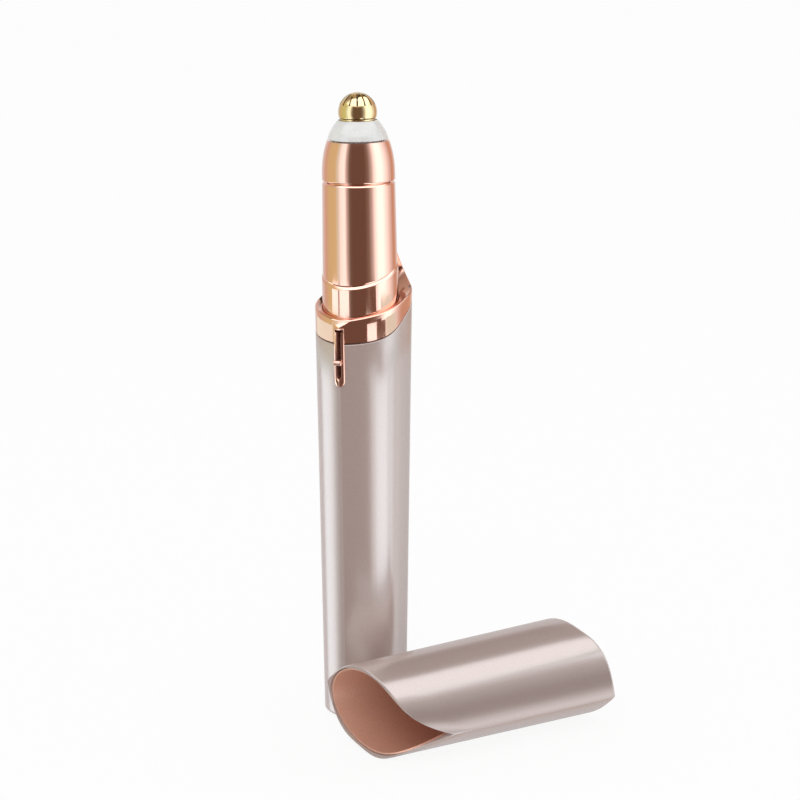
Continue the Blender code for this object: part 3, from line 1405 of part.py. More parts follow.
def make_led_wires(terminal_foot, carrier):
    side_reach = (MOTOR_RADIUS + BARREL_BORE) / 2
    over = MOTOR_TOP + (BARREL_TOP - BULKHEAD_THICKNESS - MOTOR_TOP) / 2
    outer = TERMINAL_REACH + TERMINAL_THICKNESS / 2 + CLOSE_FIT + LED_WIRE_RADIUS
    cap_foot = MOTOR_FOOT - CLOSE_FIT - END_CAP_THICKNESS
    under = (NECK_TOP + cap_foot) / 2
    hole = led_wire_hole()
    top = SPIGOT_TOP - LED_WIRE_RADIUS
    for name, side in (("led_wire_left", -1), ("led_wire_right", 1)):
        points = [
            (side * outer, 0, terminal_foot + TERMINAL_DROP / 2),
            (side * outer, 0, under),
            (side * side_reach, 0, under),
            (side * side_reach, 0, over),
            (side * hole, 0, over),
            (side * hole, 0, top),
        ]
        wire(name, points, LED_WIRE_RADIUS, INSULATION, carrier)


def cap_centre(half_length):
    return half_length - FRONT_REACH + CAP_INSET


def cap_point(index, level, wall=0.0, tip_wall=0.0, outline=cap_lens_point):
    grown = CAP_TAPER * (level - RING_LEVEL)
    half_length = RING_HALF_LENGTH - CAP_INSET + grown
    half_width = RING_HALF_WIDTH - CAP_INSET + grown
    return outline(index, half_length - tip_wall, half_width - wall, cap_centre(half_length))


def cap_ring(height, wall=0.0, tip_wall=0.0, outline=cap_lens_point):
    section = lambda i, z: cap_point(i, z, wall, tip_wall, outline)
    return [settled_point(i, section, height) for i in range(SECTION_POINTS)]


def cap_mouth(x, y, above=0.0):
    return rim_height(x, y, FIT + above)


def cap_end(y, below=0.0):
    return CAP_END_LEVEL + CAP_END_SLOPE * y - below


def make_cap_shell(cap):
    mouth = lambda x, y: cap_mouth(x, y)
    behind_mouth = lambda x, y: cap_mouth(x, y, CAP_LIP_EDGE)
    end_start = lambda x, y: cap_end(y, CAP_END_EDGE)
    middle = [
        cap_ring(lambda x, y, s=s: between(behind_mouth(x, y), end_start(x, y), s)) for s in (1 / 3, 2 / 3)
    ]
    inner = lambda x, y: cap_end(y, CAP_END_WALL)
    rings = [
        cap_ring(lambda x, y: cap_end(y), CAP_END_EDGE, CAP_END_EDGE),
        cap_ring(lambda x, y: cap_end(y, CAP_END_EDGE / 4), CAP_END_EDGE / 4, CAP_END_EDGE / 4),
        cap_ring(end_start),
        *reversed(middle),
        cap_ring(behind_mouth),
        cap_ring(mouth, CAP_LIP_EDGE, CAP_LIP_EDGE),
        cap_ring(mouth, CAP_WALL, CAP_TIP_WALL, oval_point),
        cap_ring(inner, CAP_WALL, CAP_TIP_WALL, oval_point),
    ]
    return loft("cap_shell", rings, PEARL, cap)


def make_cap_liner(cap):
    wall = CAP_WALL + CLOSE_FIT
    tip = CAP_TIP_WALL + CLOSE_FIT
    thick = wall + CAP_LINER_WALL
    thick_tip = tip + CAP_LINER_WALL
    mouth = lambda x, y: cap_mouth(x, y, CAP_LINER_SETBACK)
    outer_end = lambda x, y: cap_end(y, CAP_END_WALL + CLOSE_FIT)
    inner_end = lambda x, y: cap_end(y, CAP_END_WALL + CLOSE_FIT + CAP_LINER_WALL)
    rings = [
        cap_ring(outer_end, wall, tip, oval_point),
        cap_ring(mouth, wall, tip, oval_point),
        cap_ring(mouth, thick, thick_tip, oval_point),
        cap_ring(inner_end, thick, thick_tip, oval_point),
    ]
    return loft("cap_liner", rings, COPPER, cap)


def lying_turn(pitch):
    """Turns the closed cap on its own axis, lays it along X with its mouth toward -X, and pitches it."""
    roll = Matrix.Rotation(CAP_LEAN - math.pi, 4, "Z")
    down = Matrix.Rotation(math.pi / 2 - pitch, 4, "Y")
    return down @ roll


def lay_cap(cap):
    """Rests the cap on the floor at its mouth and its closed end, wherever its sizes put them."""
    middle = Vector((0, cap_centre(RING_HALF_LENGTH - CAP_INSET), RING_LEVEL))
    mouth = [Vector(p) - middle for p in cap_ring(lambda x, y: cap_mouth(x, y, CAP_LIP_EDGE))]
    end = [Vector(p) - middle for p in cap_ring(lambda x, y: cap_end(y, CAP_END_EDGE))]
    pitch = 0.0
    for _ in range(SETTLE_STEPS):
        turn = lying_turn(pitch)
        low_mouth = min((turn @ p for p in mouth), key=lambda p: p.z)
        low_end = min((turn @ p for p in end), key=lambda p: p.z)
        pitch -= math.atan2(low_end.z - low_mouth.z, low_end.x - low_mouth.x)
    turn = lying_turn(pitch)
    height = -min((turn @ p).z for p in mouth + end)
    cap.matrix_world = Matrix.Translation((CAP_X, CAP_Y, height)) @ turn @ Matrix.Translation(-middle)


def main():
    make_body_shell()
    carrier = empty("carrier_slide", parent=TRIMMER)
    ring = make_shoulder_ring()
    ring.parent = carrier
    make_switch(carrier)
    make_neck_collar(carrier)
    make_barrel(carrier)
    make_motor(carrier)
    make_battery(carrier)
    make_contacts(carrier)
    make_carrier_back(carrier)
    make_carrier_front(carrier)
    make_screws(carrier)
    make_led_board(carrier)
    make_wires(carrier)
    make_rotor(empty("rotor_axis", parent=carrier))
    seal = empty("head_lift", parent=carrier)
    make_seal(seal)
    make_head(empty("head_twist", parent=seal))
    cap = empty("cap_lift")
    make_cap_shell(cap)
    make_cap_liner(cap)
    lay_cap(cap)


main()
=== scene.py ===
# %% [markdown]
# # An electric eyebrow trimmer, dressed for its portrait
#
# The trimmer stands upright beside its cap. The CAD model already holds every part, but its faces
# are few, and polished metal shows each flat facet as a broken reflection. So the pieces that the eye
# meets are made again here on finer rings, from the same sizes, and each gets a finish that is
# named for what the real surface is. The one exception is a thin brown sheet in the switch slot,
# whose colour is painted shade.

# %% Load the imported model
import json
import math

import bmesh
import bpy
from mathutils import Matrix, Vector


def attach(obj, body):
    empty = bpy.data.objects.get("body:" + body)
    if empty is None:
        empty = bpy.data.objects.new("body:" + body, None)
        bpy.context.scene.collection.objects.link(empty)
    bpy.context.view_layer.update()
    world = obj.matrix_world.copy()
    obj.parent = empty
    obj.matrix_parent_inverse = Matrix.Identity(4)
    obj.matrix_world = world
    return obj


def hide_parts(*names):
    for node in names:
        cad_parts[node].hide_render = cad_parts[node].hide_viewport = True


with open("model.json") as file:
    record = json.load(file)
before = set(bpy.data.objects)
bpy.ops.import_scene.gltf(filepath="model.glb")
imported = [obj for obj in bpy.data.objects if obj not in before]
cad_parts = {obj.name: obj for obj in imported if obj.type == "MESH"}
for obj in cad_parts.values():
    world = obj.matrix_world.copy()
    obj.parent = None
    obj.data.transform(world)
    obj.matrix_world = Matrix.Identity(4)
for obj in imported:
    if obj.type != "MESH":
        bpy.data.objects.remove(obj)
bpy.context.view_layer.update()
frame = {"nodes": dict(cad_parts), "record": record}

# %% [markdown]
# The camera comes first, because it decides what is worth detail. A long lens from about half a
# metre keeps the tall, slim tool free of stretch. The photograph looks down by 13 degrees.

# %% Camera
SENSOR_WIDTH = 36.0
LENS = 111.42
CAMERA_TURN = math.radians(-29.8)
CAMERA_PITCH = math.radians(13.0)
CAMERA_YAW = math.radians(0.9)
CAMERA_ROLL = math.radians(-0.7)
CAMERA_DISTANCE = 0.450
CAMERA_HEIGHT = 0.1638


def make_camera():
    turn = Matrix.Rotation(CAMERA_TURN, 4, "Z")
    aim = Vector((math.sin(CAMERA_YAW) * math.cos(CAMERA_PITCH),
                  math.cos(CAMERA_YAW) * math.cos(CAMERA_PITCH), -math.sin(CAMERA_PITCH)))
    right = Vector((math.cos(CAMERA_YAW), -math.sin(CAMERA_YAW), 0.0))
    up = right.cross(aim)
    facing = Matrix((right, up, -aim)).transposed().to_4x4()
    data = bpy.data.cameras.new("camera")
    data.sensor_width = SENSOR_WIDTH
    data.lens = LENS
    data.clip_start = 0.01
    camera = bpy.data.objects.new("camera", data)
    bpy.context.scene.collection.objects.link(camera)
    place = Matrix.Translation((0.0, -CAMERA_DISTANCE, CAMERA_HEIGHT))
    camera.matrix_world = turn @ place @ facing @ Matrix.Rotation(CAMERA_ROLL, 4, "Z")
    bpy.context.scene.camera = camera
    return camera


camera = make_camera()
print(f"{camera.data.lens:.0f} mm lens, {CAMERA_DISTANCE * 1000:.0f} mm from the barrel")

# %% [markdown]
# Colours are written the way a picture editor shows them, as sRGB hex values. Blender works with
# linear light, so one function converts them. A second small function adds a node, sets it up and
# links it, and fills a colour ramp, which keeps each material readable as a list of steps. A third
# one lets a pattern vary a surface. Noise mostly runs from 0.3 to 0.7, so those values are taken as
# its ends.

# %% Colour and node helpers
NOISE_ENDS = 0.3, 0.7
TONE_ENDS = 0.35, 0.65


def linear(hex_colour):
    """Linear red, green and blue of an sRGB hex value such as #C67B5E."""
    shares = [int(hex_colour[i:i + 2], 16) / 255 for i in (1, 3, 5)]
    return tuple(s / 12.92 if s <= 0.04045 else ((s + 0.055) / 1.055) ** 2.4 for s in shares)


def rgba(hex_colour):
    return (*linear(hex_colour), 1.0)


def add(tree, kind, inputs=None, stops=(), **settings):
    """Adds a node. An input is a value, or the output socket of another node.

    A stop of a colour ramp is a position and a colour.
    """
    node = tree.nodes.new(kind)
    for name, value in settings.items():
        setattr(node, name, value)
    for name, value in (inputs or {}).items():
        if isinstance(value, bpy.types.NodeSocket):
            tree.links.new(value, node.inputs[name])
        else:
            node.inputs[name].default_value = value
    if stops:
        elements = node.color_ramp.elements
        for _ in stops[2:]:
            elements.new(0.5)
        for element, (position, colour) in zip(elements, stops):
            element.position = position
            element.color = colour
    return node


def finish(name, hex_colour, roughness, metallic=0.0, **values):
    """A material with one Principled shader. Returns the material, its tree and the shader."""
    made = bpy.data.materials.new(name)
    made.use_nodes = True
    shader = made.node_tree.nodes["Principled BSDF"]
    shader.inputs["Base Color"].default_value = rgba(hex_colour)
    shader.inputs["Roughness"].default_value = roughness
    shader.inputs["Metallic"].default_value = metallic
    for key, value in values.items():
        shader.inputs[key.replace("_", " ")].default_value = value
    return made, made.node_tree, shader


def grain(tree, size, detail=2.0, stretch=(1.0, 1.0, 1.0)):
    """Noise over the piece, with lumps about size metres wide."""
    place = add(tree, "ShaderNodeTexCoord").outputs["Object"]
    scaled = add(tree, "ShaderNodeMapping", {"Vector": place, "Scale": stretch})
    return add(tree, "ShaderNodeTexNoise", {
        "Vector": scaled.outputs["Vector"], "Scale": 1.0 / size, "Detail": detail,
    }).outputs["Fac"]


def vary(tree, shader, pattern, tones=(), roughness=(), depth=0.0, strength=1.0):
    """Lets a pattern vary a surface: from one tone or roughness to another, and in height."""
    if tones:
        tint = add(tree, "ShaderNodeValToRGB", {"Fac": pattern}, [
            (position, rgba(tone)) for position, tone in zip(TONE_ENDS, tones)])
        tree.links.new(tint.outputs["Color"], shader.inputs["Base Color"])
    if roughness:
        satin = add(tree, "ShaderNodeMapRange", {
            "Value": pattern, "From Min": NOISE_ENDS[0], "From Max": NOISE_ENDS[1],
            "To Min": roughness[0], "To Max": roughness[1]})
        tree.links.new(satin.outputs["Result"], shader.inputs["Roughness"])
    if depth:
        bump = add(tree, "ShaderNodeBump", {"Height": pattern, "Distance": depth, "Strength": strength})
        tree.links.new(bump.outputs["Normal"], shader.inputs["Normal"])


print("mid grey is", [round(share, 3) for share in linear("#808080")], "in linear light")

# %% [markdown]
# ## Pearl lacquer on ABS
#
# Body and cap are ABS mouldings, sprayed with a pearl base coat and a thin clear coat. The base
# coat holds flakes of mica of about 0.05 mm, which lie almost flat. They are coated with titanium
# dioxide, which bends light strongly, so the shader has an index of 2.7, a satin roughness and
# hardly any metal, and its broad bands stay neutral. The clear coat adds a sharper sheen. The
# flakes are drawn five times as coarse as real ones, so they show.

# %% Pearl lacquer
FLAKE = 5 * 0.00005


def pearl_lacquer():
    made, tree, shader = finish(
        "pearl_lacquer", "#B29D96", 0.24, 0.05, IOR=2.7, Coat_Weight=0.10, Coat_Roughness=0.10,
    )
    vary(tree, shader, grain(tree, FLAKE), ("#B09A93", "#B49F99"), (0.23, 0.25))
    return made


PEARL = pearl_lacquer()
print(f"{PEARL.name} with flakes of {FLAKE * 1000:.2f} mm")

# %% [markdown]
# ## Rose gold plating
#
# Ring, tongue, collar, barrel and nose are plastic, plated with copper and nickel and closed with
# a rose-gold tone. Plating is a mirror: metallic 1, very low roughness, and its colour comes from
# its reflections alone. A faint waviness of the moulding below, a few millimetres long, and fine
# wipe marks keep the mirror from looking like a computed one.

# %% Rose gold plating
WIPE_WIDTH, WIPE_STRETCH = 0.0006, (1.0, 1.0, 0.15)
WAVE_LENGTH, WAVE_DEPTH = 0.006, 0.00002


def rose_gold_plating():
    made, tree, shader = finish("rose_gold_plating", "#ECBBAA", 0.07, 1.0)
    vary(tree, shader, grain(tree, WIPE_WIDTH, 4.0, WIPE_STRETCH), roughness=(0.055, 0.10))
    vary(tree, shader, grain(tree, WAVE_LENGTH), depth=WAVE_DEPTH, strength=0.5)
    return made


ROSE_GOLD = rose_gold_plating()
print(f"{ROSE_GOLD.name} with waves {WAVE_LENGTH * 1000:.0f} mm long")

# %% [markdown]
# ## The other finishes
#
# - The lining in the cap is a moulding with a copper-coloured lacquer: satin, a third metallic.
# - The guard dome is the cutting foil, nickel with a hard yellow-gold plating.
# - The light ring is milky acrylic, so some light passes below its surface.
# - Inside are steel, brass, bronze, ferrite, rubber, circuit board and plain mouldings. They only
#   show when the head or the carrier comes off, but they get real finishes too.

# %% Lining, foil and light ring
SPRAY_DROP, FOIL_MARK, FOIL_DEPTH, HAZE = 0.00025, 0.0003, 0.000004, 0.0015


def copper_lacquer():
    made, tree, shader = finish(
        "copper_lacquer", "#E6B39C", 0.40, 0.30, Coat_Weight=0.15, Coat_Roughness=0.30,
    )
    vary(tree, shader, grain(tree, SPRAY_DROP), ("#E2AC94", "#EABAA4"), (0.34, 0.42))
    return made


def gold_foil():
    made, tree, shader = finish("gold_foil", "#E2C99C", 0.12, 1.0)
    vary(tree, shader, grain(tree, FOIL_MARK, 3.0), roughness=(0.09, 0.16), depth=FOIL_DEPTH)
    return made


def milky_acrylic():
    made, tree, shader = finish(
        "milky_acrylic", "#E2E2E0", 0.22, Subsurface_Weight=0.30, Subsurface_Scale=0.0012,
        Subsurface_Radius=(1.0, 1.0, 0.9), Coat_Weight=0.5, Coat_Roughness=0.08,
    )
    vary(tree, shader, grain(tree, HAZE), ("#DFDFDD", "#E5E5E3"))
    return made


COPPER_LINING = copper_lacquer()
GOLD_FOIL = gold_foil()
MILKY_ACRYLIC = milky_acrylic()
print("finishes:", COPPER_LINING.name, GOLD_FOIL.name, MILKY_ACRYLIC.name)


# %% Finishes of the inner parts
ROUGHNESS_SPREAD = 0.05


def inner_finish(name, dark, light, roughness, metallic, size, depth, stretch=(1.0, 1.0, 1.0)):
    """A plain finish with a fine mottle: two close tones, and a relief of the same pattern."""
    made, tree, shader = finish(name, light, roughness, metallic)
    ends = (roughness - ROUGHNESS_SPREAD, roughness + ROUGHNESS_SPREAD)
    vary(tree, shader, grain(tree, size, 3.0, stretch), (dark, light), ends, depth)
    return made


MOULDED_ABS_BROWN = inner_finish(
    "moulded_abs_brown", "#3A221A", "#472A20", 0.40, 0.0, 0.0003, 0.000006)
# Painted shade: the brown of the thin sheet along the switch slot stands in for the shade deep in the slot.
PAINTED_SLOT_SHADE = inner_finish("painted_slot_shade", "#8A5442", "#9A6350", 0.45, 0.0, 0.0003, 0.000006)
SLOT_FINISHES = {
    "pearl_plastic": PEARL,
    "rose_gold_plating": ROSE_GOLD,
    "copper_lining": COPPER_LINING,
    "gold_plating": GOLD_FOIL,
    "milky_plastic": MILKY_ACRYLIC,
    "steel": inner_finish("ground_steel", "#A9AAAC", "#C6C7C9", 0.28, 1.0, 0.0003, 0.000003, (1, 1, 8)),
    "brass": inner_finish("stamped_brass", "#B8964C", "#D4B368", 0.30, 1.0, 0.0005, 0.000004),
    "sintered_bronze": inner_finish("sintered_bronze", "#7A5B3A", "#A37B50", 0.50, 1.0, 0.00015, 0.00001),
    "black_plastic": inner_finish("moulded_abs_black", "#1C1C1C", "#2A2A2A", 0.45, 0.0, 0.0003, 0.000008),
    "white_plastic": inner_finish("moulded_abs_white", "#DCDBD6", "#E8E7E2", 0.42, 0.0, 0.0004, 0.000006),
    "rubber": inner_finish("seal_rubber", "#161616", "#222222", 0.65, 0.0, 0.0003, 0.00001),
    "ferrite": inner_finish("fired_ferrite", "#2A2A2D", "#3C3C40", 0.60, 0.0, 0.0003, 0.00001),
    "enamelled_copper": inner_finish(
        "enamelled_copper", "#8A4524", "#B9663A", 0.30, 0.9, 0.0002, 0.00003, (1, 1, 4)),
    "circuit_board": inner_finish("phenolic_paper", "#4A2A1C", "#5E3826", 0.40, 0.0, 0.0008, 0.000006),
    "led_phosphor": inner_finish("led_gel", "#E6D06A", "#F2E08C", 0.30, 0.0, 0.0004, 0.000006),
    "battery_jacket": inner_finish("shrink_film", "#2C3238", "#3A4148", 0.32, 0.0, 0.002, 0.00001),
    "wire_insulation": inner_finish("pvc_insulation", "#8E1E1C", "#A62B27", 0.40, 0.0, 0.0005, 0.000006),
}

for entry in frame["record"]["subparts"]:
    mesh = frame["nodes"][entry["node"]].data
    mesh.materials.clear()
    mesh.materials.append(SLOT_FINISHES[entry["material_slot"]])

# %% [markdown]
# ## Rings of points
#
# Every visible piece is a stack of rings with skin between them, which is called a loft. Body and
# cap share one outline, a lens with a crest at front and back. The real crests are rounded by a
# few tenths of a millimetre, and that small round is what catches the thin light line along them.

# %% Sizes that the pieces share
FRONT_TURN = math.radians(-56.2)
FRONT_REACH = 0.0092
BASE_HALF_LENGTH, BASE_HALF_WIDTH = 0.0087, 0.0073
RING_LEVEL = 0.0750
RING_HALF_LENGTH, RING_HALF_WIDTH = 0.0104, 0.0083
LENS_POWER = 3.2
CREST_ROUND = 0.00005
TIP_SHARE = 1.15
SECTION_POINTS = 176
ROUND_POINTS = 144
FIT = 0.0003
SETTLE_STEPS = 8
SHARP_ANGLE = math.radians(32.0)


def piece_of(name, shape, material):
    """Turns a bmesh into an object of the scene, with one material."""
    mesh = bpy.data.meshes.new(name)
    shape.to_mesh(mesh)
    shape.free()
    mesh.materials.append(material)
    made = bpy.data.objects.new(name, mesh)
    bpy.context.scene.collection.objects.link(made)
    return made


def loft(name, rings, material, closed=True):
    """Skins rings of points. A closed loft joins the last ring to the first, another gets end caps."""
    shape = bmesh.new()
    rows = [[shape.verts.new(point) for point in ring] for ring in rings]
    count = len(rows[0])
    pairs = list(zip(rows, rows[1:])) + ([(rows[-1], rows[0])] if closed else [])
    if not closed:
        shape.faces.new(list(reversed(rows[0])))
        shape.faces.new(rows[-1])
    for low, high in pairs:
        for i in range(count):
            j = (i + 1) % count
            shape.faces.new((low[i], low[j], high[j], high[i]))
    bmesh.ops.recalc_face_normals(shape, faces=shape.faces)
    made = piece_of(name, shape, material)
    made.data.shade_smooth()
    made.data.set_sharp_from_angle(angle=SHARP_ANGLE)
    return made


def cut(piece, tools):
    """Subtracts the tools from the piece, applies that, and throws the tools away."""
    for tool in tools:
        step = piece.modifiers.new("cut", "BOOLEAN")
        step.object = tool
    view = bpy.context.evaluated_depsgraph_get()
    applied = bpy.data.meshes.new_from_object(piece.evaluated_get(view))
    piece.modifiers.clear()
    piece.data = applied
    for tool in tools:
        bpy.data.objects.remove(tool)
    applied.shade_smooth()
    applied.set_sharp_from_angle(angle=SHARP_ANGLE)
    return piece


def stand(piece):
    """Turns a piece made with its front toward -Y into the trimmer's real place."""
    piece.data.transform(Matrix.Rotation(FRONT_TURN, 4, "Z"))
    return piece


def dress(piece, body, slot, *nodes):
    """Hangs the piece on the empty of its body and hides the CAD nodes it stands for. The slot is not used.
    """
    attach(piece, body)
    if nodes:
        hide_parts(*nodes)
    print(f"{piece.name}: {len(piece.data.polygons)} faces")
    return piece


def between(first, last, share):
    return first + (last - first) * share


print(f"the ring is {2 * RING_HALF_WIDTH * 1000:.1f} by {2 * RING_HALF_LENGTH * 1000:.1f} mm")


# %% The lens outline
def lens_point(index, half_length, half_width, centre_y, power):
    """Point on the lens. Index 0 is the front crest, half way round is the back crest."""
    angle = 2 * math.pi * index / SECTION_POINTS
    along = -math.cos(angle)
    side = 1 if math.sin(angle) >= 0 else -1
    across = half_width * max(0.0, 1 - abs(along) ** power)
    slope = power * half_width / half_length
    drawn_in = math.hypot(across / slope, CREST_ROUND) - across / slope
    inward = 1 if along < 0 else -1
    return side * across, centre_y + half_length * along + inward * drawn_in


def body_point(index, level, inset=0.0):
    share = level / RING_LEVEL
    half_length = between(BASE_HALF_LENGTH, RING_HALF_LENGTH, share)
    half_width = between(BASE_HALF_WIDTH, RING_HALF_WIDTH, share)
    centre = half_length - FRONT_REACH
    return lens_point(index, half_length - TIP_SHARE * inset, half_width - inset, centre, LENS_POWER)


def settled(index, outline, height):
    """Height depends on where the point lies, and that depends on its height: a few rounds agree."""
    level = RING_LEVEL
    for _ in range(SETTLE_STEPS):
        x, y = outline(index, level)
        level = height(x, y)
    return x, y, level


def body_ring(height, inset=0.0):
    if not callable(height):
        return [(*body_point(i, height, inset), height) for i in range(SECTION_POINTS)]
    return [settled(i, lambda n, z: body_point(n, z, inset), height) for i in range(SECTION_POINTS)]


print(f"{len(body_ring(RING_LEVEL))} points on a ring")

# %% [markdown]
# ## The swept edges
#
# Body and ring meet along an S-shaped edge that climbs from the front crest to the back crest,
# where it is drawn out into a pointed tail. The ring's upper rim follows its own, flatter curve.

# %% Edge curves
SWEEP_FRONT, SWEEP_RISE = 0.0725, 0.0074
RIM_FRONT, RIM_RISE, RIM_POWER = 0.0764, 0.0054, 0.85
TAIL_RISE, TAIL_HALF_WIDTH, TAIL_POWER = 0.0098, 0.0082, 2.1


def depth_share(y):
    return min(1.0, max(0.0, (y + FRONT_REACH) / (2 * RING_HALF_LENGTH)))


def sweep(y):
    share = depth_share(y)
    return SWEEP_FRONT + SWEEP_RISE * share * share * (3 - 2 * share)


def rim(y):
    return RIM_FRONT + RIM_RISE * depth_share(y) ** RIM_POWER


def tail(x, y):
    if y < RING_HALF_LENGTH - FRONT_REACH:
        return 0.0
    return TAIL_RISE * max(0.0, 1 - abs(x) / TAIL_HALF_WIDTH) ** TAIL_POWER


def edge_height(x, y, above=0.0):
    return sweep(y) + tail(x, y) + above


def rim_height(x, y, above=0.0):
    return rim(y) + tail(x, y) + above


back = 2 * RING_HALF_LENGTH - FRONT_REACH
print(f"the rim runs from {rim(-FRONT_REACH) * 1000:.1f} to {rim_height(0.0, back) * 1000:.1f} mm")

# %% [markdown]
# ## Body shell
#
# The body is one moulded tube with a floor. Its base edge is rounded, and its top edge has a hair
# of a radius, so a fine dark joint shows below the ring. Many rings on the small rounds and few on
# the straight wall put the faces where the light bends. Inside, the edge drops toward the tail, so
# the wall stays below the ring's slope.

# %% Body shell
SHELL_WALL = 0.0010
SHELL_FLOOR = 0.0016
BASE_EDGE = 0.0007
LIP_EDGE = 0.00015
TONGUE_WIDTH, TONGUE_FOOT, TONGUE_TOP = 0.0020, 0.0644, 0.0750
SLOT_WIDTH, SLOT_FOOT = 0.0009, 0.0659
SLOT_HEAD_WIDTH, SLOT_HEAD_HEIGHT = 0.0018, 0.0005
SLOT_ROOM, SLOT_DEPTH = 0.0004, 0.0026
FOOT_STEPS, SIDE_STEPS = 16, 10
WALL_STEPS, BASE_STEPS, LIP_STEPS = 8, 6, 3
TAIL_DROP = 1 / 3


def quarter_round(steps):
    """Inward and downward shares of a rounded edge, from its side to its top."""
    turns = [math.pi / 2 * i / steps for i in range(steps + 1)]
    return [(1 - math.cos(a), 1 - math.sin(a)) for a in turns]


def strip_loop(width, foot, top, head_width, head_foot):
    """Outline in x and z: a round foot, straight sides, and a head that may be wider."""
    half = width / 2
    arc = [math.pi * (1 + i / FOOT_STEPS) for i in range(FOOT_STEPS + 1)]
    points = [(half * math.cos(a), foot + half + half * math.sin(a)) for a in arc]
    rise = [between(foot + half, head_foot, i / SIDE_STEPS) for i in range(1, SIDE_STEPS + 1)]
    head = [(head_width / 2, head_foot), (head_width / 2, top), (half / 2, top)]
    right = [(half, z) for z in rise] + head
    left = [(-x, z) for x, z in reversed(right)]
    return points + right + left


def slot_tool():
    """A prism a little wider than the switch's slot, to open the shell and the ring behind it."""
    outline = strip_loop(
        SLOT_WIDTH + SLOT_ROOM, SLOT_FOOT - SLOT_ROOM / 2, TONGUE_TOP + SLOT_ROOM / 2,
        SLOT_HEAD_WIDTH, TONGUE_TOP - SLOT_HEAD_HEIGHT)
    depths = (-FRONT_REACH - SLOT_DEPTH, -FRONT_REACH + SLOT_DEPTH)
    rings = [[(x, y, z) for x, z in outline] for y in depths]
    return loft("slot_tool", rings, PEARL, closed=False)


def make_body():
    rings = []
    for inward, outward in reversed(quarter_round(BASE_STEPS)):
        rings.append(body_ring(BASE_EDGE * outward, BASE_EDGE * inward))
    lip_start = lambda x, y: edge_height(x, y, -FIT - LIP_EDGE)
    for i in range(1, WALL_STEPS):
        rings.append(body_ring(lambda x, y, s=i / WALL_STEPS: between(BASE_EDGE, lip_start(x, y), s)))
    for inward, outward in quarter_round(LIP_STEPS):
        rings.append(body_ring(
            lambda x, y, d=outward: edge_height(x, y, -FIT - LIP_EDGE * d), LIP_EDGE * inward))
    rings.append(body_ring(lambda x, y: edge_height(x, y, -FIT) - TAIL_DROP * tail(x, y), SHELL_WALL))
    rings.append(body_ring(SHELL_FLOOR, SHELL_WALL))
    return stand(cut(loft("body_tube", rings, PEARL, closed=False), [slot_tool()]))


dress(make_body(), "root", "pearl_plastic", "body_shell")

# %% [markdown]
# ## Shoulder ring
#
# The ring is a plated collar piece: a lens-shaped wall outside, a rounded rim, and a dished top
# that slopes in to the round hole of the neck. From the front it reads as a bright band.

# %% Shoulder ring
RIM_ROUND = 0.00025
TONGUE_PROUD = 0.0003
DISH_DROP = 0.0003
NECK_LINE, NECK_LIP = 0.00006, 0.00025
DECK_THICKNESS = 0.0013
SKIRT_WALL = 0.0005
WINDOW_WIDTH, WINDOW_DEPTH = 0.0028, 0.0017
BAND_STEPS, RIM_STEPS = 4, 4
COLLAR_RADIUS = 0.00705
COLLAR_CREST_ANGLE = math.radians(5.0)


def circle_ring(radius, height, count=SECTION_POINTS):
    """A ring round the barrel axis. Radius may depend on the angle, height on x and y."""
    ring = []
    for i in range(count):
        angle = 2 * math.pi * i / count
        reach = radius(angle) if callable(radius) else radius
        x, y = reach * math.sin(angle), -reach * math.cos(angle)
        ring.append((x, y, height(x, y) if callable(height) else height))
    return ring


def collar_outline(radius):
    """A circle drawn out to a low crest at front and back."""
    def reach(angle):
        from_crest = min(abs(math.remainder(angle, math.pi)), math.pi / 2)
        return radius / math.cos(max(0.0, COLLAR_CREST_ANGLE - from_crest))
    return reach


FACET_FOOT, FACET_TILT, FACET_SIZE = 0.0752, math.radians(35.0), 0.0040


def facet_tool():
    """A block whose back face leans over the tongue, to cut the ring's crest to a bright triangle."""
    half = FACET_SIZE / 2
    depth = half / math.cos(FACET_TILT)
    place = Matrix.Translation((0, -FRONT_REACH - TONGUE_PROUD / 2 - depth, FACET_FOOT))
    move = place @ Matrix.Rotation(-FACET_TILT, 4, "X")
    corners = [(-1, -1), (1, -1), (1, 1), (-1, 1)]
    rings = [
        [move @ Vector((FACET_SIZE * x, half * y, FACET_SIZE * z)) for x, y in corners] for z in (-1, 1)]
    return loft("facet_tool", rings, ROSE_GOLD, closed=False)


def window_tool():
    """A box that opens the ring's skirt behind the tongue, where the slider's flange runs."""
    half = WINDOW_WIDTH / 2
    depths = (WINDOW_DEPTH - FRONT_REACH, 2 * WINDOW_DEPTH - FRONT_REACH)
    corners = [(-half, depths[0]), (half, depths[0]), (half, depths[1]), (-half, depths[1])]
    levels = (TONGUE_FOOT, rim(-FRONT_REACH) - DISH_DROP - DECK_THICKNESS - FIT)
    rings = [[(x, y, level) for x, y in corners] for level in levels]
    return loft("window_tool", rings, ROSE_GOLD, closed=False)


def make_ring():
    skirt_in = SHELL_WALL + FIT + SKIRT_WALL
    hole = COLLAR_RADIUS + NECK_LINE
    seat = lambda x, y: rim(y) - DISH_DROP - DECK_THICKNESS
    rings = [body_ring(edge_height)]
    for i in range(1, BAND_STEPS):
        rings.append(body_ring(lambda x, y, s=i / BAND_STEPS: between(
            edge_height(x, y), rim_height(x, y, -RIM_ROUND), s)))
    for inward, outward in quarter_round(RIM_STEPS):
        rings.append(body_ring(
            lambda x, y, d=outward: rim_height(x, y, -RIM_ROUND * d), RIM_ROUND * inward))
    for inward, outward in reversed(quarter_round(RIM_STEPS)):
        rings.append(circle_ring(
            collar_outline(hole + NECK_LIP * inward),
            lambda x, y, d=outward: rim(y) - DISH_DROP - NECK_LIP * d))
    rings += [
        circle_ring(collar_outline(hole), seat),
        body_ring(seat, skirt_in),
        body_ring(lambda x, y: min(edge_height(x, y), seat(x, y)), skirt_in),
    ]
    return stand(cut(loft("ring_band", rings, ROSE_GOLD), [facet_tool(), slot_tool(), window_tool()]))


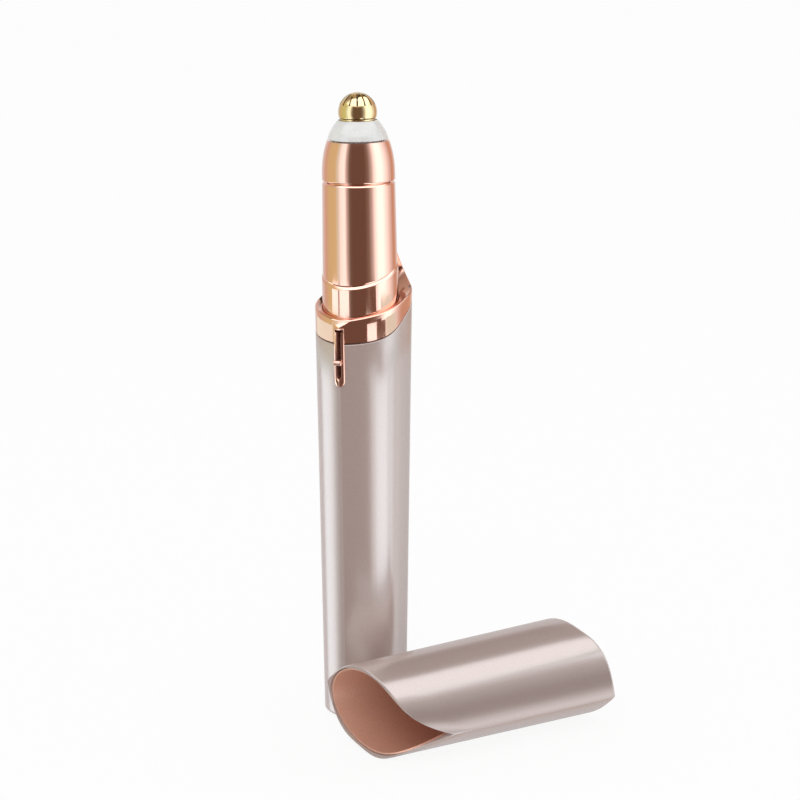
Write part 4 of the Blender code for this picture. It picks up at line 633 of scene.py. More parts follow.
dress(make_ring(), "carrier", "rose_gold_plating", "shoulder_ring")

# %% [markdown]
# ## Switch tongue
#
# A raised strip hangs from the ring over the front crest and frames the slot of the switch. It is
# made from loops instead of rings: one outline round the strip, one round the slot, each laid on
# the body's surface, so the bevels run evenly round both. A thin brown sheet stands along the
# slot's edge, and its brown is painted shade for the deep slot.

# %% Switch tongue
TONGUE_BEVEL, BEVEL_STEPS = 0.00012, 3
# Sizes of the thin sheet along the slot's edge, whose brown is painted shade.
SHADE_SHEET_TOP, SHADE_SHEET_FOOT, SHADE_SHEET_WALL = 0.00010, -0.0018, 0.00005


def front_depth(x, level, proud):
    """Depth of the body's front surface at x and a level, moved out by proud."""
    share = level / RING_LEVEL
    half_length = between(BASE_HALF_LENGTH, RING_HALF_LENGTH, share) + TIP_SHARE * proud
    half_width = between(BASE_HALF_WIDTH, RING_HALF_WIDTH, share) + proud
    centre = between(BASE_HALF_LENGTH, RING_HALF_LENGTH, share) - FRONT_REACH
    along = (1 - min(abs(x), half_width) / half_width) ** (1 / LENS_POWER)
    slope = LENS_POWER * half_width / half_length
    drawn_in = math.hypot(x / slope, CREST_ROUND) - abs(x) / slope
    return centre - half_length * along + drawn_in


def tongue_loop(width_less, proud, slot=False):
    """One loop, drawn in by width_less, lying proud of the body."""
    if slot:
        outline = strip_loop(
            SLOT_WIDTH + 2 * width_less, SLOT_FOOT - width_less, TONGUE_TOP + width_less,
            SLOT_HEAD_WIDTH + 2 * width_less, TONGUE_TOP - SLOT_HEAD_HEIGHT - width_less)
    else:
        outline = strip_loop(
            TONGUE_WIDTH - 2 * width_less, TONGUE_FOOT + width_less, TONGUE_TOP + FIT - width_less,
            TONGUE_WIDTH - 2 * width_less, TONGUE_TOP)
    return [(x, front_depth(x, z, proud), z) for x, z in outline]


def make_tongue():
    loops = [tongue_loop(0.0, -SHELL_WALL)]
    for inward, outward in quarter_round(BEVEL_STEPS):
        loops.append(tongue_loop(TONGUE_BEVEL * inward, TONGUE_PROUD - TONGUE_BEVEL * outward))
    for inward, outward in reversed(quarter_round(BEVEL_STEPS)):
        depth = TONGUE_PROUD - TONGUE_BEVEL * outward / 2
        loops.append(tongue_loop(TONGUE_BEVEL * inward / 2, depth, True))
    loops.append(tongue_loop(0.0, -SHELL_WALL, True))
    return stand(cut(loft("switch_tongue", loops, ROSE_GOLD), [facet_tool()]))


def make_slot_shade_sheet():
    """A thin brown wall along the slot's edge, whose brown is painted shade for the deep slot."""
    section = [
        (0.0, SHADE_SHEET_TOP), (0.0, SHADE_SHEET_FOOT), (-SHADE_SHEET_WALL, SHADE_SHEET_FOOT), (-SHADE_SHEET_WALL, SHADE_SHEET_TOP)]
    loops = [tongue_loop(inset, proud, True) for inset, proud in section]
    return stand(loft("slot_shade_sheet", loops, PAINTED_SLOT_SHADE))


dress(make_tongue(), "carrier", "rose_gold_plating")
# The sheet along the slot carries painted shade.
dress(make_slot_shade_sheet(), "carrier", "rose_gold_plating")

# %% [markdown]
# The slider has a plated bar outside. A dark moulded carriage runs through the slot, and a flange
# behind the shell keeps it in.

# %% Switch bar and carriage
KNOB_LEVEL = 0.0690
KNOB_WIDTH, KNOB_PROUD, KNOB_HEIGHT, KNOB_EDGE = 0.0016, 0.00055, 0.0009, 0.00018
STEM_HEIGHT, CLOSE_FIT = 0.0012, 0.0001
FLANGE_WIDTH, FLANGE_THICKNESS, FLANGE_HEIGHT, TONGUE_WALL = 0.0022, 0.0005, 0.0026, 0.0014
BLOCK_STEPS = 4


def block(name, size, centre, material, edge):
    """A box with rounded edges."""
    shape = bmesh.new()
    place = Matrix.Translation(centre) @ Matrix.Diagonal((*size, 1.0))
    bmesh.ops.create_cube(shape, size=1.0, matrix=place)
    bmesh.ops.bevel(
        shape, geom=list(shape.edges), offset=edge, segments=BLOCK_STEPS, profile=0.5, affect="EDGES")
    made = piece_of(name, shape, material)
    made.data.shade_smooth()
    return stand(made)


front = -FRONT_REACH - TONGUE_PROUD - CLOSE_FIT
carriage_back = front + CLOSE_FIT + TONGUE_WALL * TIP_SHARE + FLANGE_WIDTH / 4 + FLANGE_THICKNESS
dress(block(
    "switch_bar", (KNOB_WIDTH, KNOB_PROUD, KNOB_HEIGHT), (0, front - KNOB_PROUD / 2, KNOB_LEVEL),
    ROSE_GOLD, KNOB_EDGE), "switch", "rose_gold_plating", "switch_slider")
dress(block(
    "switch_carriage", (SLOT_WIDTH - 2 * CLOSE_FIT, carriage_back - front + KNOB_EDGE, STEM_HEIGHT),
    (0, (carriage_back + front - KNOB_EDGE) / 2, KNOB_LEVEL),
    MOULDED_ABS_BROWN, CLOSE_FIT / 2), "switch", "rose_gold_plating")
dress(block(
    "switch_flange", (FLANGE_WIDTH, FLANGE_THICKNESS, FLANGE_HEIGHT),
    (0, carriage_back - FLANGE_THICKNESS / 2, KNOB_LEVEL),
    MOULDED_ABS_BROWN, CLOSE_FIT), "switch", "rose_gold_plating")

# %% [markdown]
# ## Collar, barrel and nose
#
# The neck is a stack of turned sleeves. The collar's top is cut at a slant, and the barrel stands
# on it with the same slant. Both top edges have a narrow chamfer, which is a bright line in the
# photograph, because it looks up to the tent's roof. A ring of points close to each edge holds the
# long face's shading straight.

# %% Neck collar and barrel
COLLAR_BORE = 0.0065
COLLAR_CUT, COLLAR_CUT_HEIGHT = 0.00032, 0.00042
SLANT_LEVEL, SLANT_SLOPE = 0.0850, 0.36
BARREL_FOOT_RADIUS, BARREL_TOP_RADIUS = 0.0069, 0.0067
BARREL_FOOT, BARREL_TOP = 0.0765, 0.1011
BARREL_EDGE_STEPS, SPIGOT_STEPS = 2, 3
BARREL_CUT, BARREL_CUT_HEIGHT, BARREL_EDGE, BARREL_GAP = 0.00028, 0.00036, 0.00006, 0.00012
CHAMFER = [(0.0, 1.0), (0.06, 0.92), (0.92, 0.06), (1.0, 0.0)]
HOLD_LINE = 0.00012
SPIGOT_RADIUS, SPIGOT_BORE, SPIGOT_TOP, SPIGOT_EDGE = 0.0056, 0.0046, 0.1048, 0.0002
BULKHEAD_HOLE, BULKHEAD_THICKNESS = 0.0017, 0.0013
BARREL_BORE = 0.0055


def slant(y, above=0.0):
    return SLANT_LEVEL + SLANT_SLOPE * y + above


def make_collar():
    foot = lambda x, y: rim(y) - DISH_DROP - DECK_THICKNESS + FIT
    hold = lambda x, y: slant(y, -COLLAR_CUT_HEIGHT - HOLD_LINE)
    rings = [circle_ring(collar_outline(COLLAR_RADIUS), level) for level in (foot, hold)]
    for inward, outward in CHAMFER:
        rings.append(circle_ring(
            collar_outline(COLLAR_RADIUS - COLLAR_CUT * inward),
            lambda x, y, d=outward: slant(y, -COLLAR_CUT_HEIGHT * d)))
    rings += [circle_ring(COLLAR_BORE, lambda x, y: slant(y)), circle_ring(COLLAR_BORE, foot)]
    return stand(loft("collar_sleeve", rings, ROSE_GOLD))


def make_barrel():
    spigot = COLLAR_BORE - FIT
    rings = [circle_ring(spigot, BARREL_FOOT), circle_ring(spigot, lambda x, y: slant(y, BARREL_GAP))]
    for inward, outward in reversed(quarter_round(BARREL_EDGE_STEPS)):
        rings.append(circle_ring(
            BARREL_FOOT_RADIUS - BARREL_EDGE * inward,
            lambda x, y, d=outward: slant(y, BARREL_GAP + BARREL_EDGE * d)))
    rings.append(circle_ring(BARREL_FOOT_RADIUS, lambda x, y: slant(y, BARREL_GAP + 2 * HOLD_LINE)))
    rings.append(circle_ring(BARREL_TOP_RADIUS, BARREL_TOP - BARREL_CUT_HEIGHT - HOLD_LINE))
    for inward, outward in CHAMFER:
        rings.append(circle_ring(
            BARREL_TOP_RADIUS - BARREL_CUT * inward, BARREL_TOP - BARREL_CUT_HEIGHT * outward))
    rings.append(circle_ring(SPIGOT_RADIUS, BARREL_TOP))
    for inward, outward in quarter_round(SPIGOT_STEPS):
        rings.append(circle_ring(
            SPIGOT_RADIUS - SPIGOT_EDGE * inward, SPIGOT_TOP - SPIGOT_EDGE * outward))
    rings += [
        circle_ring(SPIGOT_BORE, SPIGOT_TOP),
        circle_ring(SPIGOT_BORE, BARREL_TOP),
        circle_ring(BULKHEAD_HOLE, BARREL_TOP),
        circle_ring(BULKHEAD_HOLE, BARREL_TOP - BULKHEAD_THICKNESS),
        circle_ring(BARREL_BORE, BARREL_TOP - BULKHEAD_THICKNESS),
        circle_ring(BARREL_BORE, BARREL_FOOT),
    ]
    return stand(loft("barrel_sleeve", rings, ROSE_GOLD))


dress(make_collar(), "carrier", "rose_gold_plating", "neck_collar")
dress(make_barrel(), "carrier", "rose_gold_plating", "motor_barrel")

# %% [markdown]
# The nose and the light ring are turned as well, with sides that bend in toward the top. Both are
# described by a profile of radius and height that runs down the outer side and back up inside.

# %% Nose and light ring
NOSE_TOP, NOSE_FOOT_RADIUS, NOSE_TOP_RADIUS, NOSE_POWER = 0.1086, 0.00672, 0.0057, 2.6
NOSE_EDGE, NOSE_STEPS = 0.00012, 24
ROUND_MIDDLE = 0.3
NOSE_BORE, NOSE_CHAMBER, NOSE_LIP, NOSE_MOUTH = 0.00575, 0.0053, 0.0010, 0.0049
SEAL_LEVEL, SEAL_GROOVE_DEPTH, HALF_GROOVE = 0.1031, 0.0004, 0.00032
LIGHT_FOOT_RADIUS, LIGHT_TOP_RADIUS, LIGHT_TOP, LIGHT_POWER = 0.00555, 0.00375, 0.1123, 1.5
LIGHT_BORE, LIGHT_MOUTH, LIGHT_SPIGOT_DEPTH = 0.0042, 0.0035, 0.0014
LIGHT_EDGE, LIGHT_STEPS = 0.0001, 20
DOME_FOOT, DOME_FLANGE_HEIGHT = 0.1100, 0.0004


def curved_side(foot, top, foot_radius, top_radius, power, steps):
    """Radius and height down a side that bends in toward its top."""
    side = []
    for i in range(steps + 1):
        share = 1 - i / steps
        side.append((foot_radius - (foot_radius - top_radius) * share ** power, between(foot, top, share)))
    return side


def turned(name, profile, material):
    return loft(name, [circle_ring(r, z, ROUND_POINTS) for r, z in profile], material)


def make_nose():
    foot = BARREL_TOP + FIT
    side = curved_side(foot + NOSE_EDGE, NOSE_TOP, NOSE_FOOT_RADIUS, NOSE_TOP_RADIUS, NOSE_POWER, NOSE_STEPS)
    profile = [
        *side,
        (NOSE_FOOT_RADIUS - NOSE_EDGE * ROUND_MIDDLE, foot + NOSE_EDGE * ROUND_MIDDLE),
        (NOSE_FOOT_RADIUS - NOSE_EDGE, foot),
        (NOSE_BORE, foot),
        (NOSE_BORE, SEAL_LEVEL - HALF_GROOVE),
        (NOSE_BORE + SEAL_GROOVE_DEPTH, SEAL_LEVEL - HALF_GROOVE),
        (NOSE_BORE + SEAL_GROOVE_DEPTH, SEAL_LEVEL + HALF_GROOVE),
        (NOSE_BORE, SEAL_LEVEL + HALF_GROOVE),
        (NOSE_BORE, SPIGOT_TOP + FIT),
        (NOSE_CHAMBER, SPIGOT_TOP + FIT),
        (NOSE_CHAMBER, NOSE_TOP - NOSE_LIP),
        (NOSE_MOUTH, NOSE_TOP - NOSE_LIP),
        (NOSE_MOUTH, NOSE_TOP),
    ]
    return turned("nose_sleeve", profile, ROSE_GOLD)


def make_light_ring():
    foot = NOSE_TOP + FIT
    bore_top = DOME_FOOT + DOME_FLANGE_HEIGHT + FIT
    side = curved_side(
        foot, LIGHT_TOP - LIGHT_EDGE, LIGHT_FOOT_RADIUS, LIGHT_TOP_RADIUS, LIGHT_POWER, LIGHT_STEPS)
    profile = [
        (LIGHT_TOP_RADIUS - LIGHT_EDGE, LIGHT_TOP),
        *side,
        (NOSE_MOUTH - FIT, foot),
        (NOSE_MOUTH - FIT, NOSE_TOP - LIGHT_SPIGOT_DEPTH),
        (LIGHT_BORE, NOSE_TOP - LIGHT_SPIGOT_DEPTH),
        (LIGHT_BORE, bore_top),
        (LIGHT_MOUTH, bore_top),
        (LIGHT_MOUTH, LIGHT_TOP),
    ]
    return turned("light_collar", profile, MILKY_ACRYLIC)


dress(make_nose(), "head", "rose_gold_plating", "head_nose")
dress(make_light_ring(), "head", "milky_plastic", "light_ring")

# %% [markdown]
# ## Guard dome
#
# The foil is a thin dome with radial slots that let single hairs through to the cutter. The slots
# are cut with a Boolean modifier, which is then applied, so the piece is a plain mesh again.

# %% Guard dome
DOME_TOP, DOME_RADIUS, DOME_RISE, DOME_WALL = 0.1173, 0.00355, 0.0036, 0.0004
DOME_SWEEP = math.radians(105.0)
DOME_SKIRT_RADIUS, DOME_FLANGE_RADIUS = 0.0032, 0.0039
DOME_SLOTS, DOME_SLOT_WIDTH = 14, 0.0003
DOME_SLOT_INNER, DOME_SLOT_OUTER = 0.0013, 0.005
DOME_SLOT_FOOT, DOME_SLOT_HEAD = 0.1151, DOME_TOP + 0.001
DOME_STEPS, DOME_INNER_STEPS = 40, 24
POLE_RADIUS = 0.00002


def dome_arc(radius, rise, steps):
    angles = [DOME_SWEEP * i / steps for i in range(steps + 1)]
    middle = DOME_TOP - DOME_RISE
    return [(max(radius * math.sin(a), POLE_RADIUS), middle + rise * math.cos(a)) for a in angles]


def dome_slot_tool(index):
    """A bar over the dome, from near its pole outward."""
    angle = 2 * math.pi * (index + 0.5) / DOME_SLOTS + FRONT_TURN
    half = DOME_SLOT_WIDTH / 2
    turn = Matrix.Rotation(angle, 4, "Z")
    rings = []
    near, far = DOME_SLOT_INNER, DOME_SLOT_OUTER
    for level in (DOME_SLOT_FOOT, DOME_SLOT_HEAD):
        corners = [(near, -half), (far, -half), (far, half), (near, half)]
        rings.append([turn @ Vector((x, y, level)) for x, y in corners])
    return loft("dome_slot_tool", rings, GOLD_FOIL, closed=False)


def make_dome():
    outer = dome_arc(DOME_RADIUS, DOME_RISE, DOME_STEPS)
    inner = dome_arc(DOME_RADIUS - DOME_WALL, DOME_RISE - DOME_WALL, DOME_INNER_STEPS)
    bore = DOME_SKIRT_RADIUS - DOME_WALL
    profile = [
        *outer,
        (DOME_SKIRT_RADIUS, outer[-1][1] - DOME_WALL / 2),
        (DOME_SKIRT_RADIUS, DOME_FOOT + DOME_FLANGE_HEIGHT),
        (DOME_FLANGE_RADIUS, DOME_FOOT + DOME_FLANGE_HEIGHT),
        (DOME_FLANGE_RADIUS, DOME_FOOT),
        (bore, DOME_FOOT),
        (bore, inner[-1][1] - DOME_WALL),
        *reversed(inner),
    ]
    rings = [circle_ring(r, z, ROUND_POINTS) for r, z in profile]
    dome = loft("foil_dome", rings, GOLD_FOIL, closed=False)
    return cut(dome, [dome_slot_tool(i) for i in range(DOME_SLOTS)])


dress(make_dome(), "head", "gold_plating", "guard_dome")

# %% [markdown]
# ## Cap
#
# The cap has the body's outline, a slanted closed end, and a mouth cut along the ring's rim. It is
# modelled closed, where all its sizes are known, and then laid beside the trimmer: rolled about
# its own length, tipped over, and pitched until both its ends touch the table.

# %% Cap sizes and rings
CAP_INSET, CAP_TAPER, CAP_LENS_POWER = 0.00015, 0.012, 3.0
CAP_WALL, CAP_TIP_WALL, CAP_LINER_WALL, CAP_LINER_SETBACK = 0.0005, 0.0010, 0.0003, 0.0004
CAP_LIP_EDGE, CAP_LIP_STEPS, CAP_END_STEPS = 0.00025, 4, 6
CAP_END_LEVEL, CAP_END_SLOPE, CAP_END_EDGE, CAP_END_WALL = 0.1243, 0.30, 0.0010, 0.0012
CAP_X, CAP_Y, CAP_LEAN = -0.0185, -0.0240, math.radians(22.0)
CAP_MIDDLE = RING_HALF_LENGTH - FRONT_REACH
PITCH_ROUNDS = 12


def cap_lens(index, half_length, half_width, centre_y):
    return lens_point(index, half_length, half_width, centre_y, CAP_LENS_POWER)


def oval(index, half_length, half_width, centre_y):
    angle = 2 * math.pi * index / SECTION_POINTS
    return half_width * math.sin(angle), centre_y - half_length * math.cos(angle)


def cap_ring(height, wall=0.0, tip_wall=0.0, outline=cap_lens):
    def section(index, level):
        grown = CAP_TAPER * (level - RING_LEVEL)
        half_length = RING_HALF_LENGTH - CAP_INSET + grown
        half_width = RING_HALF_WIDTH - CAP_INSET + grown
        return outline(index, half_length - tip_wall, half_width - wall, CAP_MIDDLE)
    return [settled(i, section, height) for i in range(SECTION_POINTS)]


def cap_mouth(x, y, above=0.0):
    return rim_height(x, y, FIT + above)


def cap_end(y, below=0.0):
    return CAP_END_LEVEL + CAP_END_SLOPE * y - below


cap_length = cap_end(0.0) - cap_mouth(0.0, -FRONT_REACH)
print(f"the cap is {cap_length * 1000:.1f} mm long at its front")

# %% Cap placement
def cap_lying():
    """The move that lays the closed cap on the table."""
    middle = Vector((0, CAP_MIDDLE, RING_LEVEL))
    mouth = [Vector(p) - middle for p in cap_ring(lambda x, y: cap_mouth(x, y, CAP_LIP_EDGE))]
    end = [Vector(p) - middle for p in cap_ring(lambda x, y: cap_end(y, CAP_END_EDGE))]
    roll = Matrix.Rotation(CAP_LEAN - math.pi, 4, "Z")
    pitch = 0.0
    for _ in range(PITCH_ROUNDS):
        turn = Matrix.Rotation(math.pi / 2 - pitch, 4, "Y") @ roll
        low_mouth = min((turn @ p for p in mouth), key=lambda p: p.z)
        low_end = min((turn @ p for p in end), key=lambda p: p.z)
        pitch -= math.atan2(low_end.z - low_mouth.z, low_end.x - low_mouth.x)
    turn = Matrix.Rotation(math.pi / 2 - pitch, 4, "Y") @ roll
    height = -min((turn @ p).z for p in mouth + end)
    return Matrix.Translation((CAP_X, CAP_Y, height)) @ turn @ Matrix.Translation(-middle)


LYING = cap_lying()
print(f"the cap's middle lies {LYING.to_translation().z * 1000:.1f} mm above the table")


# %% Cap shell and lining
def make_cap_shell():
    rings = []
    for inward, outward in reversed(quarter_round(CAP_END_STEPS)):
        inset = CAP_END_EDGE * inward
        rings.append(cap_ring(lambda x, y, d=outward: cap_end(y, CAP_END_EDGE * d), inset, inset))
    start = lambda x, y: cap_end(y, CAP_END_EDGE)
    lip = lambda x, y: cap_mouth(x, y, CAP_LIP_EDGE)
    for i in range(1, WALL_STEPS):
        rings.append(cap_ring(lambda x, y, s=i / WALL_STEPS: between(start(x, y), lip(x, y), s)))
    for inward, outward in quarter_round(CAP_LIP_STEPS):
        inset = CAP_LIP_EDGE * inward
        rings.append(cap_ring(lambda x, y, d=outward: cap_mouth(x, y, CAP_LIP_EDGE * d), inset, inset))
    rings.append(cap_ring(cap_mouth, CAP_WALL, CAP_TIP_WALL, oval))
    rings.append(cap_ring(lambda x, y: cap_end(y, CAP_END_WALL), CAP_WALL, CAP_TIP_WALL, oval))
    piece = loft("cap_case", rings, PEARL, closed=False)
    piece.data.transform(LYING)
    return piece


def make_cap_lining():
    wall, tip = CAP_WALL + CLOSE_FIT, CAP_TIP_WALL + CLOSE_FIT
    mouth = lambda x, y: cap_mouth(x, y, CAP_LINER_SETBACK)
    rings = [cap_ring(lambda x, y: cap_end(y, CAP_END_WALL + CLOSE_FIT), wall, tip, oval)]
    rings.append(cap_ring(mouth, wall, tip, oval))
    rings.append(cap_ring(mouth, wall + CAP_LINER_WALL, tip + CAP_LINER_WALL, oval))
    deep = lambda x, y: cap_end(y, CAP_END_WALL + CLOSE_FIT + CAP_LINER_WALL)
    rings.append(cap_ring(deep, wall + CAP_LINER_WALL, tip + CAP_LINER_WALL, oval))
    piece = loft("cap_lining", rings, COPPER_LINING, closed=False)
    piece.data.transform(LYING)
    return piece


dress(make_cap_shell(), "cap", "pearl_plastic", "cap_shell")
dress(make_cap_lining(), "cap", "copper_lining", "cap_liner")

# %% [markdown]
# ## Table and studio
#
# A mirror has no look of its own, so the studio is half of the finish. The photograph's bands come
# from a white tent with a dark gap for the camera and bright strips beside it. The world holds that
# tent for the rays that reflections follow, with one ring of light for its walls and one for its
# roof. The camera itself sees plain white, and other rays get an even level, at which colours come
# out as they are written. The table glows for the camera in the same way and keeps a soft shadow.

# %% Table
FLOOR_RADIUS, FLOOR_SIDES = 3.0, 96
FLOOR_GLOW = 0.90


def white_acrylic_sheet():
    made = bpy.data.materials.new("white_acrylic_sheet")
    made.use_nodes = True
    tree = made.node_tree
    tree.nodes.clear()
    lit = add(tree, "ShaderNodeBsdfDiffuse", {"Color": rgba("#F8F8F8")})
    glow = add(tree, "ShaderNodeEmission", {"Color": (1, 1, 1, 1), "Strength": 1.0})
    seen = add(tree, "ShaderNodeLightPath").outputs["Is Camera Ray"]
    share = add(tree, "ShaderNodeMath", {0: seen, 1: FLOOR_GLOW}, operation="MULTIPLY")
    mixed = add(tree, "ShaderNodeMixShader", {0: share.outputs[0], 1: lit.outputs[0], 2: glow.outputs[0]})
    add(tree, "ShaderNodeOutputMaterial", {"Surface": mixed.outputs[0]})
    return made


def make_floor():
    shape = bmesh.new()
    bmesh.ops.create_circle(shape, cap_ends=True, segments=FLOOR_SIDES, radius=FLOOR_RADIUS)
    table = piece_of("table", shape, white_acrylic_sheet())
    table.visible_glossy = False
    print(f"{table.name}: {2 * FLOOR_RADIUS:.0f} m wide, {FLOOR_GLOW:.0%} of it glow for the camera")


make_floor()

# %% World
LEVEL = 0.85
STRIP = 4.0
ROOF_START, ROOF_FULL = math.radians(32), math.radians(44)
PALE, ICE, CREAM = (1.0, 1.0, 1.0), (0.92, 1.0, 1.04), (0.88, 1.10, 1.02)
TAN, ORANGE, DEEP, DIM = (1.0, 0.98, 0.55), (1.0, 0.80, 0.65), (1.0, 0.68, 0.50), (1.0, 0.64, 0.48)
WALLS = [
    (-180, 0.85, PALE), (-150, 0.82, PALE), (-126, 0.75, ORANGE), (-108, 0.77, TAN), (-80, 0.80, TAN),
    (-68, 0.98, CREAM), (-60, 1.5, ICE), (-46, 1.7, ICE), (-39, 0.70, PALE), (-29, 0.20, ORANGE),
    (-20, 0.18, DIM), (18, 0.18, DIM), (30, 0.29, ORANGE), (41, 0.68, PALE), (50, 1.5, ICE),
    (60, 2.0, ICE), (76, 2.1, ICE), (94, 1.5, ICE), (110, 0.95, PALE), (127, 0.68, DEEP),
    (140, 0.74, DEEP), (158, 0.85, PALE),
]
ROOF = [
    (-180, 0.6, ORANGE), (-120, 0.35, ORANGE), (-96, 0.8, PALE), (-84, 2.3, PALE), (134, 2.3, PALE),
    (143, 0.2, PALE), (149, 0.08, DIM), (172, 0.08, DIM), (178, 0.5, PALE),
]


def light(level, tint=PALE):
    """The colour of a level of light, where the lamp behind it has the strength STRIP."""
    return (*(level * share / STRIP for share in tint), 1.0)


def tent_stops(ring):
    """Stops of one ring of the tent, from angles off the camera to shares of a turn."""
    return [((angle + 180) / 360, light(level, tint)) for angle, level, tint in ring]


def make_world():
    world = bpy.data.worlds.new("white_tent")
    world.use_nodes = True
    bpy.context.scene.world = world
    tree = world.node_tree
    tree.nodes.clear()
    way = add(tree, "ShaderNodeVectorRotate", {
        "Vector": add(tree, "ShaderNodeTexCoord").outputs["Generated"],
        "Axis": (0, 0, 1), "Angle": -CAMERA_TURN,
    }, rotation_type="AXIS_ANGLE").outputs[0]
    parts = add(tree, "ShaderNodeSeparateXYZ", {"Vector": way}).outputs
    back = add(tree, "ShaderNodeMath", {0: parts["Y"], 1: -1.0}, operation="MULTIPLY").outputs[0]
    azimuth = add(tree, "ShaderNodeMath", {0: parts["X"], 1: back}, operation="ARCTAN2").outputs[0]
    turn = add(tree, "ShaderNodeMath", {0: azimuth, 1: 2 * math.pi}, operation="DIVIDE").outputs[0]
    share = add(tree, "ShaderNodeMath", {0: turn, 1: 0.5}, operation="ADD").outputs[0]
    walls = add(tree, "ShaderNodeValToRGB", {"Fac": share}, tent_stops(WALLS)).outputs["Color"]
    roof = add(tree, "ShaderNodeValToRGB", {"Fac": share}, tent_stops(ROOF)).outputs["Color"]
    elevation = add(tree, "ShaderNodeMath", {0: parts["Z"]}, operation="ARCSINE").outputs[0]
    rise = add(tree, "ShaderNodeMapRange", {
        "Value": elevation, "From Min": ROOF_START, "From Max": ROOF_FULL,
    }, interpolation_type="SMOOTHSTEP").outputs["Result"]
    tent = add(tree, "ShaderNodeMixRGB", {"Fac": rise, "Color1": walls, "Color2": roof}).outputs[0]
    path = add(tree, "ShaderNodeLightPath").outputs
    mirrored = add(tree, "ShaderNodeMath", {
        0: path["Is Glossy Ray"], 1: path["Is Transmission Ray"],
    }, operation="MAXIMUM").outputs[0]
    unseen = add(tree, "ShaderNodeMixRGB", {"Fac": mirrored, "Color1": light(LEVEL), "Color2": tent})
    seen = add(tree, "ShaderNodeMixRGB", {
        "Fac": path["Is Camera Ray"], "Color1": unseen.outputs[0], "Color2": light(1.0)})
    glow = add(tree, "ShaderNodeBackground", {"Color": seen.outputs[0], "Strength": STRIP})
    add(tree, "ShaderNodeOutputWorld", {"Surface": glow.outputs[0]})
    print(f"{world.name}: {len(WALLS)} stops round the walls, {len(ROOF)} round the roof")


make_world()

# %% [markdown]
# One tent can't give three pieces that face the same way the bands that they have in the
# photograph. The body, the ring and the cap mirror what stands lower than the barrel's view, so
# cards stand there: low ones round the trimmer for the body, a narrow belt above them for the ring
# and the collar, and a graded one in front of the cap. Only reflections see the cards.

# %% Cards that only reflections see
CARD_REACH, CARD_FOOT, CARD_TOP = 0.100, -0.060, 0.052
ARC_STEPS = 12
BELT_FOOT, BELT_TOP, SIDE_BELT_TOP, COLLAR_BELT_TOP = 0.0525, 0.059, 0.063, 0.067
ROUND_CARDS = [
    (-180, -137, CARD_FOOT, CARD_TOP, 0.95, PALE), (-137, -121, CARD_FOOT, CARD_TOP, 0.8, PALE),
    (-121, -98, CARD_FOOT, CARD_TOP, 2.5, ICE), (-96, -84, CARD_FOOT, CARD_TOP, 0.05, PALE),
    (-84, -24, CARD_FOOT, CARD_TOP, 0.4, PALE), (20, 31, CARD_FOOT, CARD_TOP, 1.5, PALE),
    (31, 66, CARD_FOOT, CARD_TOP, 2.5, ICE), (66, 93, CARD_FOOT, CARD_TOP, 1.8, ICE),
    (93, 122, CARD_FOOT, CARD_TOP, 1.2, PALE), (122, 180, CARD_FOOT, CARD_TOP, 0.8, PALE),
    (-140, -97, BELT_FOOT, BELT_TOP, 1.15, CREAM), (16, 34, BELT_FOOT, BELT_TOP, 1.75, ICE),
    (34, 60, BELT_FOOT, BELT_TOP, 0.2, DIM), (61, 104, BELT_FOOT, SIDE_BELT_TOP, 1.0, CREAM),
    (-92, -69, BELT_TOP, COLLAR_BELT_TOP, 1.8, ICE), (-69, -64, BELT_TOP, COLLAR_BELT_TOP, 0.5, PALE),
    (-64, -34, BELT_TOP, COLLAR_BELT_TOP, 1.8, ICE), (28, 46, BELT_TOP, COLLAR_BELT_TOP, 0.2, DIM),
]
CAP_CARD_PLACE, CAP_CARD_LEFT, CAP_CARD_RIGHT, CAP_CARD_TOP = -0.038, -0.025, 0.045, 0.0175
CAP_CARD_LIGHT = [
    (0.0, 0.6, PALE), (0.15, 0.9, PALE), (0.24, 1.6, PALE), (0.33, 0.8, PALE), (0.39, 0.15, PALE),
    (0.46, 0.0, PALE), (0.56, 0.0, PALE), (0.68, 0.25, PALE), (0.84, 0.55, PALE), (1.0, 1.3, PALE),
]


def card_light(name, stops):
    """A material that glows by height. Each stop is a share of the cap card's height and a light."""
    made = bpy.data.materials.new(name)
    made.use_nodes = True
    tree = made.node_tree
    tree.nodes.clear()
    place = add(tree, "ShaderNodeTexCoord").outputs["Object"]
    height = add(tree, "ShaderNodeSeparateXYZ", {"Vector": place}).outputs["Z"]
    share = add(tree, "ShaderNodeMath", {0: height, 1: CAP_CARD_TOP}, operation="DIVIDE").outputs[0]
    colour = add(tree, "ShaderNodeValToRGB", {"Fac": share}, stops).outputs["Color"]
    glow = add(tree, "ShaderNodeEmission", {"Color": colour, "Strength": STRIP})
    add(tree, "ShaderNodeOutputMaterial", {"Surface": glow.outputs[0]})
    return made


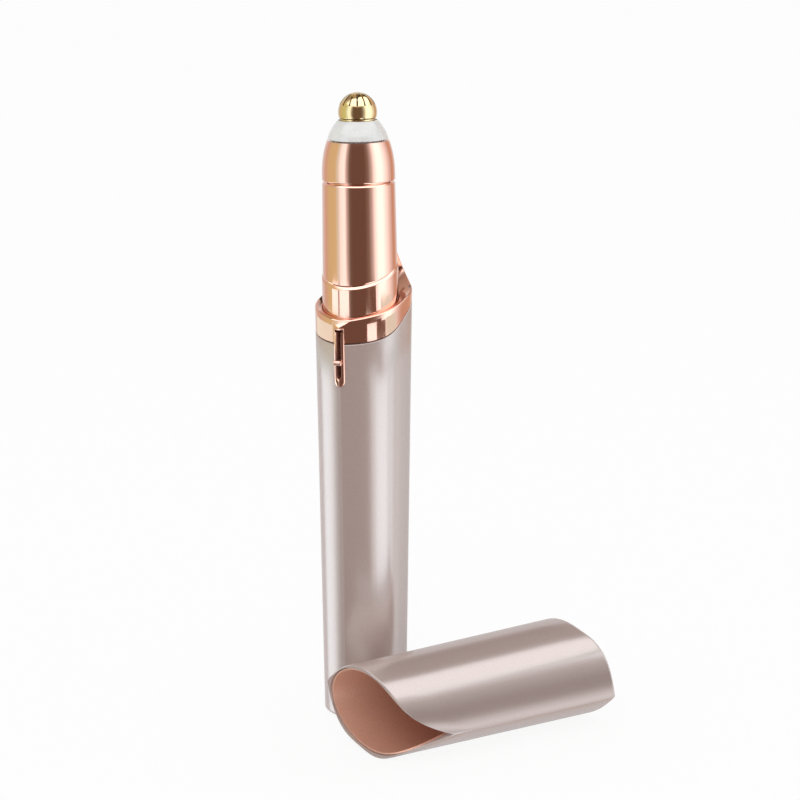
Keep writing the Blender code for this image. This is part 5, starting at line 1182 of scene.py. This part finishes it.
def make_card(name, rows, stops):
    """A card between two rows of points."""
    shape = bmesh.new()
    low, high = [[shape.verts.new(point) for point in row] for row in rows]
    for i in range(len(low) - 1):
        shape.faces.new((low[i], low[i + 1], high[i + 1], high[i]))
    card = piece_of(name, shape, card_light(name, stops))
    card.visible_camera = card.visible_diffuse = card.visible_shadow = False


def arc(start, end, level):
    """Points of an arc round the trimmer, between two angles off the camera."""
    turns = [math.radians(between(start, end, i / ARC_STEPS)) + CAMERA_TURN for i in range(ARC_STEPS + 1)]
    return [(CARD_REACH * math.sin(turn), -CARD_REACH * math.cos(turn), level) for turn in turns]


for i, (start, end, foot, top, level, tint) in enumerate(ROUND_CARDS):
    rows = [arc(start, end, foot), arc(start, end, top)]
    make_card(f"card_{i}", rows, [(0.0, light(level, tint)), (1.0, light(level, tint))])
make_card("cap_card", [
    [(CAP_CARD_LEFT, CAP_CARD_PLACE, level), (CAP_CARD_RIGHT, CAP_CARD_PLACE, level)]
    for level in (0.0, CAP_CARD_TOP)
], [(share, light(level, tint)) for share, level, tint in CAP_CARD_LIGHT])
print(f"{len(ROUND_CARDS)} cards round the trimmer and one in front of the cap")

# %% [markdown]
# One soft lamp over the table gives the pieces their faint shadow. Mirrors don't show it, because
# the tent is already all that they need.

# %% Lamp over the table
LAMP_PLACE, LAMP_AIM = Vector((-0.45, -0.55, 0.75)), Vector((0, 0, 0.05))
LAMP_SIDE, LAMP_WATTS = 0.5, 1.2


def make_softbox():
    data = bpy.data.lights.new("softbox", "AREA")
    data.shape = "RECTANGLE"
    data.size = data.size_y = LAMP_SIDE
    data.energy = LAMP_WATTS
    lamp = bpy.data.objects.new("softbox", data)
    lamp.location = LAMP_PLACE
    lamp.rotation_euler = (LAMP_AIM - LAMP_PLACE).to_track_quat("-Z", "Y").to_euler()
    lamp.visible_glossy = False
    bpy.context.scene.collection.objects.link(lamp)
    print(f"{lamp.name}: {data.energy:.1f} W over {LAMP_SIDE} m")


make_softbox()

# %% Output settings
bpy.context.scene.view_settings.view_transform = "Standard"
